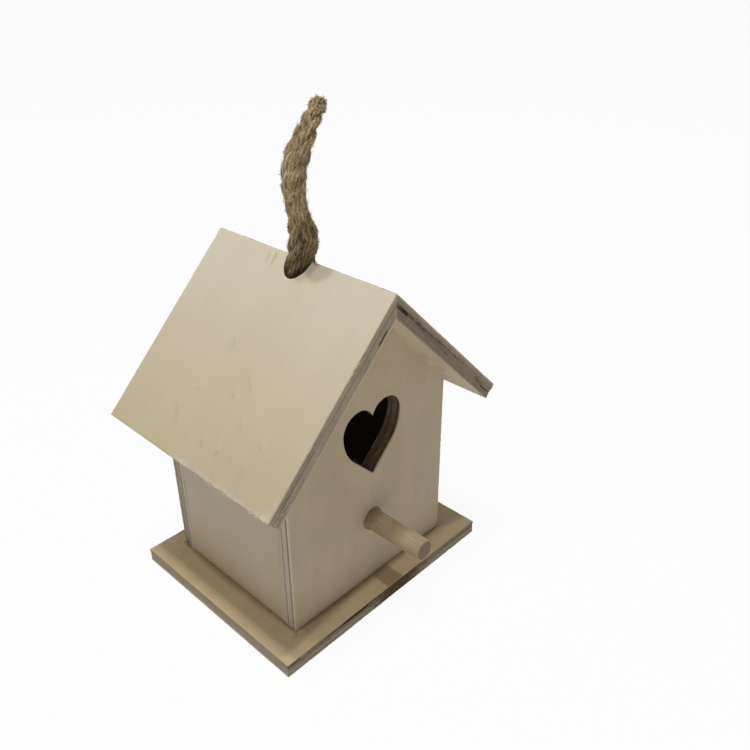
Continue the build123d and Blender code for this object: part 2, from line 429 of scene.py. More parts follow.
@dataclass(frozen=True)
class DowelFinish:
    """A raw turned dowel with its grain along Y, end grain at its tip and painted shade on its part nearest
    the panel.
    """

    name: str = "turned_dowel"
    pale: Colour = shade(186, 166, 134)
    dark: Colour = shade(160, 136, 104)
    fleck: Colour = shade(96, 74, 50)
    flecks: float = 0.4
    worn: float = 0.9
    shade_edge: tuple[float, float] = (-47 * MM, -44 * MM)
    shade_tones: tuple[float, float] = (1.01, 0.95)
    shade_waver: float = 16 * MM
    grain_depth: float = 0.07 * MM
    specular: float = 0.32

    def material(self, grain: WoodGrain) -> bpy.types.Material:
        """Build the finish on object coordinates, with the grain's axis turned to Y.

        Args:
            grain: The shared grain group.

        Returns:
            The material.
        """
        material, graph, shader = new_material(self.name)
        across, along, up = graph.parts(graph.place())
        wood = grain.use(graph, graph.out("ShaderNodeCombineXYZ", {0: along, 1: across, 2: up}))
        colour = graph.blend(graph.span(wood["Streak"], 0.32, 0.68), self.dark, self.pale)
        colour = graph.blend(graph.times(wood["Fleck"], self.flecks), colour, self.fleck)
        colour = graph.shaded(colour, graph.span(wood["Blotch"], *NARROW, 0.84, 1.08))
        # Painted shade: the dowel is darker near the panel, where the roof's overhang shades it, and a little
        # lighter towards its tip, across a ragged line.
        ragged = graph.times(graph.math("SUBTRACT", wood["Blotch"], 0.5), self.shade_waver)
        painted_shade = graph.span(graph.plus(along, ragged), *self.shade_edge, *self.shade_tones)
        colour = graph.shaded(colour, painted_shade)
        colour = graph.blend(graph.times(graph.number("dowel_wear"), self.worn), colour, self.fleck)
        rough = graph.span(wood["Streak"], *BROAD, 0.5, 0.64)
        graph.surface(shader, colour, rough, (0.6, self.grain_depth, wood["Height"]))
        shader.inputs["Specular IOR Level"].default_value = self.specular
        return material


@dataclass(frozen=True)
class FibreFinish:
    """Natural fibres, such as twisted jute: straw on the crowns, with painted shade in dark brown in the
    hollows between yarns and fibres, at the rope's foot and at the top of its loop.
    """

    name: str
    straw: Colour = shade(246, 226, 180)
    brown: Colour = shade(190, 162, 115)
    deep: Colour = shade(66, 48, 30)
    valley: float = 0.5
    strand_shade: float = 0.66
    fibre_shade: float = 0.44
    relief: float = 0.25 * MM
    strand_specular: float = 0.2
    fibre_specular: float = 0.25

    FIBRE = (4200.0, 4200.0, 240.0)
    PATCH = (700.0, 700.0, 160.0)
    LOOSE = (900.0, 900.0, 600.0)

    def strands(self) -> bpy.types.Material:
        """The finish of the laid strands, on the attributes that the rope's tree stores."""
        material, graph, shader = new_material(self.name)
        place = graph.triple("strand_place")
        fibre = graph.noise(place, self.FIBRE, 3.0, 0.7)
        mixed = graph.weighted(fibre, graph.noise(place, self.PATCH, 3.0, 0.6), 0.6)
        colour = graph.blend(graph.span(mixed, 0.38, 0.6), self.brown, self.straw)
        # Painted shade in the valleys between yarns and in the gaps between fibres.
        gaps = graph.span(fibre, 0.3, 0.46, 0.75, 0.0)
        shadow = graph.plus(graph.times(graph.number("strand_valley"), self.valley), gaps, clamp=True)
        colour = graph.blend(shadow, colour, self.deep)
        # Painted shade towards the rope's foot and at the top of its loop.
        colour = graph.blend(graph.times(graph.number("strand_shade"), self.strand_shade), colour, self.deep)
        graph.surface(shader, colour, graph.span(fibre, *BROAD, 0.7, 0.92), (0.9, self.relief, mixed))
        shader.inputs["Specular IOR Level"].default_value = self.strand_specular
        return material

    def fibres(self) -> bpy.types.Material:
        """The finish of loose fibres, each with its own tint."""
        material, graph, shader = new_material(self.name)
        patch = graph.span(graph.noise(graph.place(), self.LOOSE), 0.32, 0.68)
        mixed = graph.weighted(graph.number("fibre_tint"), patch)
        low = graph.blend(graph.span(mixed, 0.2, 0.42), self.deep, self.brown)
        colour = graph.blend(graph.span(mixed, 0.42, 0.66), low, self.straw)
        # Painted shade towards the rope's foot and at the top of its loop.
        colour = graph.blend(graph.times(graph.number("strand_shade"), self.fibre_shade), colour, self.deep)
        graph.surface(shader, colour, graph.span(patch, *BROAD, 0.6, 0.85))
        shader.inputs["Specular IOR Level"].default_value = self.fibre_specular
        return material


@dataclass(frozen=True)
class WireFinish:
    """Bright drawn wire with faint scratches, for the brads."""

    name: str = "brad_wire"
    bright: Colour = shade(190, 190, 190)
    dull: Colour = shade(140, 138, 134)
    scratch: float = 0.02 * MM

    DRAWN = (6000.0, 6000.0, 250.0)
    TARNISH = (900.0, 900.0, 900.0)

    def material(self) -> bpy.types.Material:
        """Build the finish on object coordinates."""
        material, graph, shader = new_material(self.name)
        place = graph.place()
        drawn = graph.noise(place, self.DRAWN, 3.0)
        colour = graph.blend(graph.noise(place, self.TARNISH, 3.0), self.bright, self.dull)
        graph.surface(shader, colour, graph.span(drawn, *BROAD, 0.28, 0.5), (0.3, self.scratch, drawn))
        shader.inputs["Metallic"].default_value = 1.0
        return material


@dataclass(frozen=True)
class GlueFinish:
    """Dried wood glue: pale, smooth and a little shiny."""

    name: str = "dried_glue"
    pale: Colour = shade(206, 189, 156)
    dark: Colour = shade(192, 173, 138)
    relief: float = 0.1 * MM

    CLOUD = (160.0, 160.0, 160.0)

    def material(self) -> bpy.types.Material:
        """Build the finish on object coordinates."""
        material, graph, shader = new_material(self.name)
        cloud = graph.noise(graph.place(), self.CLOUD, 3.0)
        colour = graph.blend(graph.span(cloud, *NARROW), self.dark, self.pale)
        graph.surface(shader, colour, graph.span(cloud, *BROAD, 0.35, 0.5), (0.4, self.relief, cloud))
        return material


def mesh_object(name: str, points: np.ndarray, faces: Sequence[Sequence[int]]) -> bpy.types.Object:
    """Make a smooth-shaded mesh object at the origin.

    Args:
        name: The piece's name.
        points: Its vertices, one row each, in metres.
        faces: The vertex numbers of each face.

    Returns:
        The object, linked to the scene.
    """
    mesh = bpy.data.meshes.new(name)
    mesh.from_pydata(points.tolist(), [], [tuple(int(i) for i in face) for face in faces])
    mesh.polygons.foreach_set("use_smooth", [True] * len(mesh.polygons))
    made = bpy.data.objects.new(name, mesh)
    bpy.context.scene.collection.objects.link(made)
    return made


def store(piece: bpy.types.Object, name: str, values: np.ndarray) -> None:
    """Write one value or one vector for each vertex of a piece.

    Args:
        piece: The mesh object.
        name: The attribute's name.
        values: One row for each vertex.
    """
    kind, field_name = ("FLOAT_VECTOR", "vector") if values.ndim == 2 else ("FLOAT", "value")
    made = piece.data.attributes.new(name, kind, "POINT")
    made.data.foreach_set(field_name, np.ascontiguousarray(values, np.float32).ravel())


def wander(places: np.ndarray, wavelength: float, rng: np.random.Generator) -> np.ndarray:
    """A smooth random line from -1 to 1 along a length.

    Args:
        places: Where to read it.
        wavelength: The distance between its random knots.
        rng: The source of its knots.

    Returns:
        One value for each place.
    """
    steps = (places - places.min()) / wavelength
    knots = rng.uniform(-1, 1, int(steps.max()) + 2)
    low = np.floor(steps).astype(int)
    share = steps - low
    share = share * share * (3 - 2 * share)
    return knots[low] * (1 - share) + knots[low + 1] * share


def arc(centre: Sequence[float], radii: Sequence[float], start: float, end: float, count: int) -> np.ndarray:
    """Points on an arc of a circle or an ellipse, with its angles in degrees."""
    turn = np.radians(np.linspace(start, end, count))
    return np.stack([centre[0] + radii[0] * np.cos(turn), centre[1] + radii[1] * np.sin(turn)], 1)


@dataclass(frozen=True)
class Wave:
    """A random unevenness along a length: how far it sways about its base, and over what distance."""

    amount: float
    distance: float
    base: float = 0.0

    def along(self, places: np.ndarray, rng: np.random.Generator) -> np.ndarray:
        """The unevenness at each place, from a new draw."""
        return self.base + self.amount * wander(places, self.distance, rng)


def travelled(track: np.ndarray) -> np.ndarray:
    """The distance gone at each point of a track."""
    return np.concatenate([[0], np.cumsum(np.linalg.norm(np.diff(track, axis=0), axis=1))])


def read_along(track: np.ndarray, stops: np.ndarray) -> np.ndarray:
    """The places on a track at the given distances from its start."""
    gone = travelled(track)
    return np.stack([np.interp(stops, gone, track[:, i]) for i in (0, 1)], 1)


def clearance(places: np.ndarray, others: np.ndarray) -> np.ndarray:
    """The distance from each place to the nearest of the others."""
    return np.array([np.min(np.hypot(*(others - place).T), initial=np.inf) for place in places])


def lattice(rows: int, around: int, closed: bool = False) -> list[tuple[int, ...]]:
    """The faces of a tube, made of rows of points that each go once round.

    Args:
        rows: The number of rows.
        around: The number of points in each.
        closed: Whether the last row joins the first.

    Returns:
        The vertex numbers of each face.
    """
    faces = []
    for row in range(rows if closed else rows - 1):
        start, below = row * around, (row + 1) % rows * around
        for side in range(around):
            after = (side + 1) % around
            faces.append((start + side, start + after, below + after, below + side))
    return faces


def box_mm(node: str) -> tuple[Vector, Vector, list[float]]:
    """The low and high corners of a node's box, in metres, and its size, in millimetres."""
    low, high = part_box(node)
    return low, high, [(b - a) / MM for a, b in zip(low, high)]


def stand(
    piece: bpy.types.Object, finish: bpy.types.Material | None = None, node: str | None = None,
    weld: bool = False,
) -> None:
    """Stand a piece on the house.

    Args:
        piece: The mesh object.
        finish: The material of a mesh that has none yet. Its faces are turned outwards too.
        node: The node that it replaces, if any.
        weld: Whether points that lie in one place become one.
    """
    if finish:
        shell = bmesh.new()
        shell.from_mesh(piece.data)
        if weld:
            bmesh.ops.remove_doubles(shell, verts=shell.verts, dist=WELD)
        bmesh.ops.recalc_face_normals(shell, faces=shell.faces)
        shell.to_mesh(piece.data)
        shell.free()
        piece.data.materials.append(finish)
        LOG.info("%s: %d faces", piece.name, len(piece.data.polygons))
    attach(piece, Body.HOUSE.value)
    if node:
        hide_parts(node)


@dataclass(frozen=True)
class Sheet:
    """A grade of plywood: its plies from the show face inwards, and each one's tone and recess at an edge."""

    plies: tuple[float, ...]
    tones: tuple[float, ...]
    recesses: tuple[float, ...]
    ease: float = 0.3
    glue: float = 0.55

    @property
    def thickness(self) -> float:
        """The whole sheet's thickness, in millimetres."""
        return sum(self.plies)


@dataclass(frozen=True)
class Mark:
    """A stretch of a cut edge, in millimetres on the board: its middle and how far it reaches each way."""

    u: float
    v: float
    reach: float

    def apart(self, edge: np.ndarray) -> np.ndarray:
        """How far each place on an edge lies from the middle, as a share of the reach."""
        return np.hypot(edge[:, 0] - self.u, edge[:, 1] - self.v) / self.reach


@dataclass(frozen=True)
class DarkRecess(Mark):
    """A void, chip or split between two depths below the show face, or a stretch of painted shadow there. A
    ragged one is torn in blots.
    """

    top: float
    bottom: float
    depth: float
    dark: float = 1.0
    ragged: bool = False


@dataclass(frozen=True)
class PaleArris(Mark):
    """A stretch where the show face's arris is painted pale: partly worn, frayed wood and partly a painted
    highlight along it.
    """


@dataclass(frozen=True)
class Bore:
    """A counterbore in the inner face, in millimetres on the board."""

    u: float
    v: float
    radius: float
    depth: float
    soil_and_shade: float


@dataclass(frozen=True)
class Score:
    """A fine crack, a scratch, a raised tear or a band of glue with painted contact shade in the show face,
    from one place to another, in millimetres on the board.
    """

    start: tuple[float, float]
    end: tuple[float, float]
    width: float
    depth: float
    dark: float = 1.0
    soil_and_shade: float = 0.25


@dataclass
class Board:
    """One plywood board, with eased and chipped edges, plies in relief and marks in its faces.

    u runs along the face veneer's grain, v across it and w from the show face into the board, in millimetres.
    """

    name: str
    node: str
    origin: Vector
    along: Vector
    across: Vector
    inward: Vector
    sheet: Sheet
    runs: list[list[np.ndarray]]
    lean: Callable[[np.ndarray], np.ndarray] | None = None
    dark_recesses: tuple[DarkRecess, ...] = ()
    bores: tuple[Bore, ...] = ()
    scores: tuple[Score, ...] = ()
    pale_arrises: tuple[PaleArris, ...] = ()
    shaded_loop: int | None = None
    chips: float = 7.0
    seed: int = 1
    edge_step: float = 0.55
    face_step: float = 2.3
    rim: float = 1.0
    # The face's tint from pale to warm, along and across the board, is painted light and shade: a paler roof
    # ridge as a painted sheen, warmer wall feet as painted shade and bounce light from the base, and a warmer
    # top on the front gable as painted shade under the overhang.
    lighting_tint: tuple[float, float] = (0.4, 0.6)
    lighting_tint_across: tuple[float, float] = (0.0, 0.0)
    # How much painted shade darkens the inner face, for the inside of the house.
    inner_shade: float = 0.0

    OUTLINE_STEP, MOVE_STEP, LOOK_AHEAD, NEAREST = 0.06, 0.1, 0.05, 0.02
    CORNER_STOPS = (0.12, 0.3)
    SHARPEST = 0.1
    SKIN, GLUE_HALF, RING_STEP = 0.5, 0.07, 0.32
    HOLLOW_RIMS = (0.02, 0.1)
    EASE_FINE, EASE_BROAD = Wave(0.3, 1.3, 1.0), Wave(0.25, 9.0)
    EASE_LIMITS, BITE, RIM_PALE = (0.08, 0.85), 1.1, 0.7
    CHIP_REACH, CHIP_DEPTH = (0.35, 1.1), (0.08, 0.3)
    PALE_WAVER = Wave(0.2, 1.6)
    DRIFT, SQUEEZE, BROKEN = Wave(0.3, 3.0), Wave(0.4, 1.2, 1.0), Wave(0.3, 2.0, 0.8)
    SAWN, SURFACE, MOUTH, SPECK = Wave(1.0, 0.7), Wave(0.04, 6.0), Wave(0.5, 0.6), Wave(0.75, 0.8, 0.55)
    GLUE_TONE, GLUE_DARK, GLUE_RECESS = Wave(0.25, 5.0, 0.75), 0.75, 0.1
    LOOP_SHADE = Wave(0.1, 2.0, 0.42)
    SQUEEZE_LIMITS, SPECK_LIMITS = (0.3, 1.8), (0.1, 1)
    MOUTH_CREST, MOUTH_END, RAGGED_STEEP, CLEAN_STEEP = 1.15, 1.25, 4, 12
    SIDE_RECESS, END_RECESS, SIDE_ROUGH, END_ROUGH = 0.35, 0.65, 0.025, 0.075
    ARRIS, ARRIS_FOOT, ARRIS_CUT = 0.3, 0.9, 0.45
    BORE_PROFILE, BORE_SIDES = ((0.0, 1.0), (0.97, 1.0), (1.0, 0.0)), 18
    SCORE_STEP, SCORE_SWAY, SCORE_ENDS, SCORE_WAVES = 0.3, 0.12, (0.04, 0.96), (9, 40)
    FILL_JITTER, RIM_GAP, MARK_GAP, FACE_WAVE, SWELLS = 0.35, 1.1, 0.7, 0.04, (7.3, 5.9)
    GRAIN_SPREAD = 400

    def build(self, finish: bpy.types.Material) -> None:
        """Build the board's mesh, dress it and stand it for its node.

        Args:
            finish: The material.
        """
        self.rng = np.random.default_rng(self.seed)
        self.points: list[np.ndarray] = []
        self.look: list[np.ndarray] = []
        self.wear_and_shade: list[np.ndarray] = []
        self.faces: list[tuple[int, ...]] = []
        self.count = 0
        rims = {side: [] for side in Face}
        for number, loop in enumerate(self.runs):
            for side, rim in zip(Face, self.wall(loop, number)):
                rims[side].append(rim)
        for side, loops in rims.items():
            self.face(side, loops)
        flat = np.concatenate(self.points)
        place = flat.copy()
        if self.lean:
            flat[:, 0] += flat[:, 2] * self.lean(flat[:, 0])
        axes = np.array([self.along, self.across, self.inward])
        piece = mesh_object(self.name, np.array(self.origin) + flat * MM @ axes, self.faces)
        place[:, :2] += self.rng.uniform(0, self.GRAIN_SPREAD, 2)
        store(piece, "board_place", place * MM)
        store(piece, "ply_look", np.concatenate(self.look))
        store(piece, "edge_wear_and_shade", np.concatenate(self.wear_and_shade))
        ways = zip(flat.T, (self.lighting_tint, self.lighting_tint_across))
        store(piece, "painted_lighting_tint", sum(np.interp(way, (way.min(), way.max()), tones) for way, tones in ways))
        stand(piece, finish, self.node)

    def keep(self, points: np.ndarray, look: np.ndarray, wear_and_shade: np.ndarray) -> np.ndarray:
        """Add vertices and return their numbers."""
        self.points.append(points)
        self.look.append(look)
        self.wear_and_shade.append(wear_and_shade)
        numbers = np.arange(self.count, self.count + len(points))
        self.count += len(points)
        return numbers

    def sampled(self, loop: list[np.ndarray], inset: float) -> tuple[np.ndarray, np.ndarray]:
        """A loop's points, moved into the wood, and the direction into the wood at each.

        Args:
            loop: The loop's runs, end to end. A run of two points is straight.
            inset: How far to move them.

        Returns:
            The points and the directions.
        """
        corners, ends = [], []
        outline = np.concatenate([self.walked(run, self.OUTLINE_STEP)[0] for run in loop])
        shifted = [self.moved(run, inset, outline) for run in loop]
        for number, run in enumerate(loop):
            before = loop[number - 1]
            normal_a, normal_b = self.left(before[-1] - before[-2]), self.left(run[1] - run[0])
            middle = normal_a + normal_b
            corner = middle / max(middle @ normal_a, self.SHARPEST)
            corners.append(corner)
            both_curved = len(before) > 2 and len(run) > 2
            meet = (shifted[number - 1][-1] + shifted[number][0]) / 2
            ends.append(meet if both_curved else run[0] + corner * inset)
        places, ways = [], []
        for number, run in enumerate(loop):
            length = np.linalg.norm(np.diff(run, axis=0), axis=1).sum()
            inner = np.linspace(0, length, max(3, round(length / self.edge_step)) + 1)[1:-1]
            near = [d for d in self.CORNER_STOPS if d < length / 3]
            stops = np.unique(np.concatenate([[0], near, inner, [length - d for d in near]]))
            end = ends[(number + 1) % len(loop)]
            middle = shifted[number][1:-1] if len(run) > 2 else np.empty((0, 2))
            track = np.concatenate([ends[number][None], middle, end[None]])
            places.append(read_along(track, stops / length * travelled(track)[-1]))
            steps = read_along(run, stops + self.LOOK_AHEAD) - read_along(run, stops - self.LOOK_AHEAD)
            facing = np.array([self.left(step) for step in steps])
            facing[0] = corners[number] / np.linalg.norm(corners[number])
            ways.append(facing)
        return np.concatenate(places), np.concatenate(ways)

    @staticmethod
    def left(step: np.ndarray) -> np.ndarray:
        """The unit direction to the left of a step, which is into the wood."""
        return np.array([-step[1], step[0]]) / np.linalg.norm(step)

    def walked(self, run: np.ndarray, step: float) -> tuple[np.ndarray, np.ndarray]:
        """Close points along a run and the direction into the wood at each."""
        length = travelled(run)[-1]
        at = read_along(run, np.linspace(0, length, max(2, round(length / step))))
        return at, np.array([self.left(s) for s in np.gradient(at, axis=0)])

    def moved(self, run: np.ndarray, inset: float, outline: np.ndarray) -> np.ndarray:
        """A run moved into the wood, without the parts that come too near to the rest of the outline."""
        at, ways = self.walked(run, self.MOVE_STEP)
        track = at + ways * inset
        kept = track[clearance(track, outline) > inset - self.NEAREST]
        return kept if len(kept) > 3 else track

    def rings(self) -> list[tuple[float, int, float]]:
        """The depths of the wall's rings between its eased corners.

        Returns:
            For each ring its depth, its ply and how dark its glue line is.
        """
        found, top = [], 0.0
        last = len(self.sheet.plies) - 1
        for number, ply in enumerate(self.sheet.plies):
            low = top + (self.SKIN if number == 0 else self.GLUE_HALF)
            high = top + ply - (self.SKIN if number == last else self.GLUE_HALF)
            depths = np.linspace(low, high, max(2, round((high - low) / self.RING_STEP) + 1))
            found += [(float(depth), number, 0.0) for depth in depths]
            top += ply
            if number < last:
                found.append((top, number, self.sheet.glue))
        fine, wide = self.HOLLOW_RIMS
        for hollow in (h for h in self.dark_recesses if h.depth > 1):
            for depth in (hollow.top + fine, hollow.top + wide, hollow.bottom - wide, hollow.bottom - fine):
                found.append((depth, int(np.searchsorted(np.cumsum(self.sheet.plies), depth)), 0.0))
        return sorted(found)

    def eased(self, run: np.ndarray) -> np.ndarray:
        """How far an arris is rounded at each distance along its edge, with its small chips."""
        rng = self.rng
        ease = self.sheet.ease * (self.EASE_FINE.along(run, rng) + self.EASE_BROAD.along(run, rng))
        for place in rng.uniform(0, run[-1], int(run[-1] / 100 * self.chips)):
            bite = rng.uniform(*self.CHIP_REACH)
            ease += rng.uniform(*self.CHIP_DEPTH) * np.clip(1 - ((run - place) / bite) ** 2, 0, 1)
        return np.clip(ease, *self.EASE_LIMITS)

    def wall(self, loop: list[np.ndarray], number: int) -> tuple[np.ndarray, np.ndarray]:
        """Build one cut wall, with its eased corners.

        Args:
            loop: The loop's runs.
            number: The loop's place in the outline.

        Returns:
            The vertex numbers of its rims on the show face and the inner face.
        """
        rng, thick, last = self.rng, self.sheet.thickness, len(self.sheet.plies) - 1
        edge, facing = self.sampled(loop, 0.0)
        rim, _ = self.sampled(loop, self.rim)
        inwards = (rim - edge) / self.rim
        run = np.cumsum(np.linalg.norm(edge - np.roll(edge, 1, axis=0), axis=1))
        size = len(edge)
        none = np.zeros(size)
        turn_u, turn_v = facing[:, 0] ** 2, facing[:, 1] ** 2
        show, inner = self.eased(run), self.eased(run)
        for hollow in (h for h in self.dark_recesses if h.top <= 0):
            bite = np.clip(self.BITE - hollow.apart(edge) ** 2, 0, 1)
            show = np.clip(show + hollow.depth * bite, *self.EASE_LIMITS)
        # Painted shade: one loop's cut wall, the heart's on the front board, is darkened as the shade inside
        # its opening.
        loop_shade = float(number == self.shaded_loop)
        # Pale stretches of the show face's arris: partly worn wood, partly a painted highlight.
        worn = none
        for fray in self.pale_arrises:
            apart = fray.apart(edge)
            pale = np.clip(self.BITE - apart**2 + self.PALE_WAVER.along(run, rng), 0, 1) * (apart < 1)
            worn = np.maximum(worn, pale)

        def ring(
            inset: np.ndarray, depth: np.ndarray | float, ply: int, cut: np.ndarray | float = 1.0,
            dark: np.ndarray = none, base: np.ndarray = edge, pale: np.ndarray | float = 0.0,
        ) -> np.ndarray:
            """Add one ring of vertices."""
            odd = ply % 2
            end_grain = (turn_v if odd else turn_u) * (1 - pale)
            tone = self.sheet.tones[ply] * (1 - pale)
            look = np.stack([np.broadcast_to(value, size) for value in (float(odd), tone, end_grain)], 1)
            wear_and_shade = np.stack([np.broadcast_to(cut, size), np.clip(dark, 0, 1), none], 1)
            flat = base + inwards * inset[:, None]
            return self.keep(np.column_stack([flat, np.broadcast_to(depth, size)]), look, wear_and_shade)

        shapes = []
        for hollow in self.dark_recesses:
            drift = self.DRIFT.along(run, rng) if hollow.ragged else none
            squeeze = self.SQUEEZE.along(run, rng) if hollow.ragged else np.ones(size)
            broken = np.clip(self.BROKEN.along(run, rng), 0, 1) if hollow.ragged else np.ones(size)
            shapes.append((drift, np.clip(squeeze, *self.SQUEEZE_LIMITS), broken))
        chain = [
            ring(none, none, 0, self.RIM_PALE * worn, base=rim, pale=worn),
            ring(show, none, 0, worn, pale=worn),
            ring(show * self.ARRIS, show * self.ARRIS, 0, np.maximum(worn, self.ARRIS_CUT), pale=worn),
            ring(none, show * self.ARRIS_FOOT, 0, pale=worn),
        ]
        for depth, ply, glue in self.rings():
            end_grain = turn_v if ply % 2 else turn_u
            rough = self.SIDE_ROUGH + self.END_ROUGH * end_grain
            recess = self.sheet.recesses[ply] * (self.SIDE_RECESS + self.END_RECESS * end_grain)
            inset = recess + rough * self.SAWN.along(run, rng)
            inset += self.SURFACE.along(run, rng) + self.GLUE_RECESS * (glue > 0)
            dark = np.full(size, glue * self.GLUE_DARK) * self.GLUE_TONE.along(run, rng)
            dark += loop_shade * self.LOOP_SHADE.along(run, rng)
            for hollow, (drift, squeeze, broken) in zip(self.dark_recesses, shapes):
                apart = hollow.apart(edge)
                half = (hollow.bottom - hollow.top) / 2
                middle = hollow.top + half * (1 + drift)
                steep = self.RAGGED_STEEP if hollow.ragged else self.CLEAN_STEEP
                deep = np.clip(1 - ((depth - middle) / (half * squeeze)) ** steep, 0, 1)
                mouth = np.clip(self.MOUTH_CREST - apart**2 + self.MOUTH.along(run, rng), 0, 1)
                share = mouth * (apart < self.MOUTH_END) * deep * broken
                inset = inset + hollow.depth * share
                speck = np.clip(self.SPECK.along(run, rng), *self.SPECK_LIMITS) if hollow.ragged else 1.0
                dark = np.maximum(dark, hollow.dark * share * speck)
            chain.append(ring(inset, depth, ply, dark=dark))
        chain += [
            ring(none, thick - inner * self.ARRIS_FOOT, last),
            ring(inner * self.ARRIS, thick - inner * self.ARRIS, last, self.ARRIS_CUT),
            ring(inner, thick, last, 0.0),
            ring(none, thick, last, 0.0, base=rim),
        ]
        following = np.roll(np.arange(size), -1)
        for upper, lower in zip(chain, chain[1:]):
            self.faces += list(zip(upper, upper[following], lower[following], lower))
        return chain[0], chain[-1]

    def marks(self, side: Face) -> np.ndarray:
        """The extra vertices of a face's bores and scores.

        Args:
            side: The face.

        Returns:
            A row for each, with its u and v, its depth, its soil and painted shade, and its darkness.
        """
        rows = []
        for bore in self.bores if side is Face.INNER else ():
            for share, deep in self.BORE_PROFILE:
                for turn in np.linspace(0, FULL_TURN, self.BORE_SIDES if share else 1, endpoint=False):
                    u, v = bore.radius * share * np.cos(turn), bore.radius * share * np.sin(turn)
                    rows.append((bore.u + u, bore.v + v, bore.depth * deep, bore.soil_and_shade * deep, 0.0))
        for score in self.scores if side is Face.SHOW else ():
            start, end = np.array(score.start), np.array(score.end)
            normal = self.left(end - start)
            count = max(4, round(np.linalg.norm(end - start) / self.SCORE_STEP))
            (low, high), (bends, shift_by) = self.SCORE_ENDS, self.SCORE_WAVES
            for share in (step / count for step in range(count + 1)):
                open_by = math.sin(math.pi * min(max(share, low), high)) ** 0.5
                sway = normal * self.SCORE_SWAY * math.sin(share * bends + score.depth * shift_by)
                middle = start + (end - start) * share + sway
                for shift, mark in ((-0.5, 0.0), (0.0, 1.0), (0.5, 0.0)):
                    place = middle + normal * shift * score.width * open_by
                    values = (score.depth * open_by, score.soil_and_shade, score.dark * open_by)
                    rows.append((*place, *(mark * value for value in values)))
        return np.array(rows).reshape(-1, 5)

    def face(self, side: Face, loops: list[np.ndarray]) -> None:
        """Fill one face inside its rims, with gentle waves and its marks.

        Args:
            side: The face.
            loops: The vertex numbers of its rims, the outer one first.
        """
        every = np.concatenate(self.points)
        rims = [every[loop][:, :2] for loop in loops]
        border = np.concatenate(rims)
        bounds = zip(rims[0].min(0), rims[0].max(0))
        spans = [np.arange(low + 1, high, self.face_step) for low, high in bounds]
        grid = np.stack(np.meshgrid(*spans, indexing="ij"), -1).reshape(-1, 2)
        fill = grid + self.rng.uniform(-self.FILL_JITTER, self.FILL_JITTER, grid.shape) * self.face_step
        marks = self.marks(side)
        clear = (clearance(fill, border) > self.RIM_GAP) & (clearance(fill, marks[:, :2]) > self.MARK_GAP)
        fill = fill[clear & self.inside(fill, rims)]
        swells = [np.sin(fill[:, i] / self.SWELLS[i] + (i + 1) * self.seed) for i in (0, 1)]
        wave = self.FACE_WAVE * swells[0] * swells[1]
        clean = np.zeros(len(fill))
        # The show face takes soil and painted contact shade from its scores; the inner face takes painted
        # shade for the inside of the house.
        if side is Face.SHOW:
            ply, level, into, score_soil_and_shade, interior_shade = 0, 0.0, 1.0, self.score_soil_and_shade(fill), 0.0
        else:
            ply, level, into = len(self.sheet.plies) - 1, self.sheet.thickness, -1.0
            score_soil_and_shade, interior_shade = clean, self.inner_shade
        inner = np.concatenate([fill, marks[:, :2]])
        depth = level + into * np.concatenate([wave, marks[:, 2]])
        look = np.tile([float(ply % 2), self.sheet.tones[ply], 0.0], (len(inner), 1))
        soil_and_shade = np.concatenate([score_soil_and_shade, marks[:, 3]]) + interior_shade
        wear_and_shade = np.stack([np.zeros(len(inner)), np.concatenate([clean, marks[:, 4]]), soil_and_shade], 1)
        numbers = np.concatenate([*loops, self.keep(np.column_stack([inner, depth]), look, wear_and_shade)])
        coords = [Vector(p) for p in np.concatenate([border, inner])]
        edges, start = [], 0
        for loop in loops:
            edges += [(start + i, start + (i + 1) % len(loop)) for i in range(len(loop))]
            start += len(loop)
        places, _, triangles, sources, _, _ = geometry.delaunay_2d_cdt(coords, edges, [], 0, WELD)
        flat = np.array([tuple(p) for p in places])
        within = self.inside(np.array([flat[list(t)].mean(0) for t in triangles]), rims)
        own = [numbers[s[0]] for s in sources]
        self.faces += [tuple(own[i] for i in t) for t, kept in zip(triangles, within) if kept]

    def score_soil_and_shade(self, places: np.ndarray) -> np.ndarray:
        """How much soil and painted contact shade each place of the show face takes from the scores beside
        it.
        """
        found = np.zeros(len(places))
        for score in self.scores:
            start, way = np.array(score.start), np.subtract(score.end, score.start)
            share = np.clip((places - start) @ way / (way @ way), 0, 1)
            apart = np.hypot(*(places - start - share[:, None] * way).T)
            found = np.maximum(found, score.soil_and_shade * np.clip(1 - 2 * apart / score.width, 0, 1))
        return found

    @staticmethod
    def inside(points: np.ndarray, loops: list[np.ndarray]) -> np.ndarray:
        """Whether each point lies in the wood, inside the outer loop and outside the holes."""
        found = np.zeros(len(points), bool)
        for loop in loops:
            after = np.roll(loop, -1, axis=0)
            for (x0, y0), (x1, y1) in zip(loop, after):
                if y0 == y1:
                    continue
                crosses = (points[:, 1] < y0) != (points[:, 1] < y1)
                found ^= crosses & (points[:, 0] < x0 + (points[:, 1] - y0) * (x1 - x0) / (y1 - y0))
        return found


def straight(*corners: tuple[float, float]) -> list[np.ndarray]:
    """The straight runs of a closed outline through the given corners."""
    ends = list(corners[1:]) + [corners[0]]
    return [np.array([a, b], float) for a, b in zip(corners, ends)]


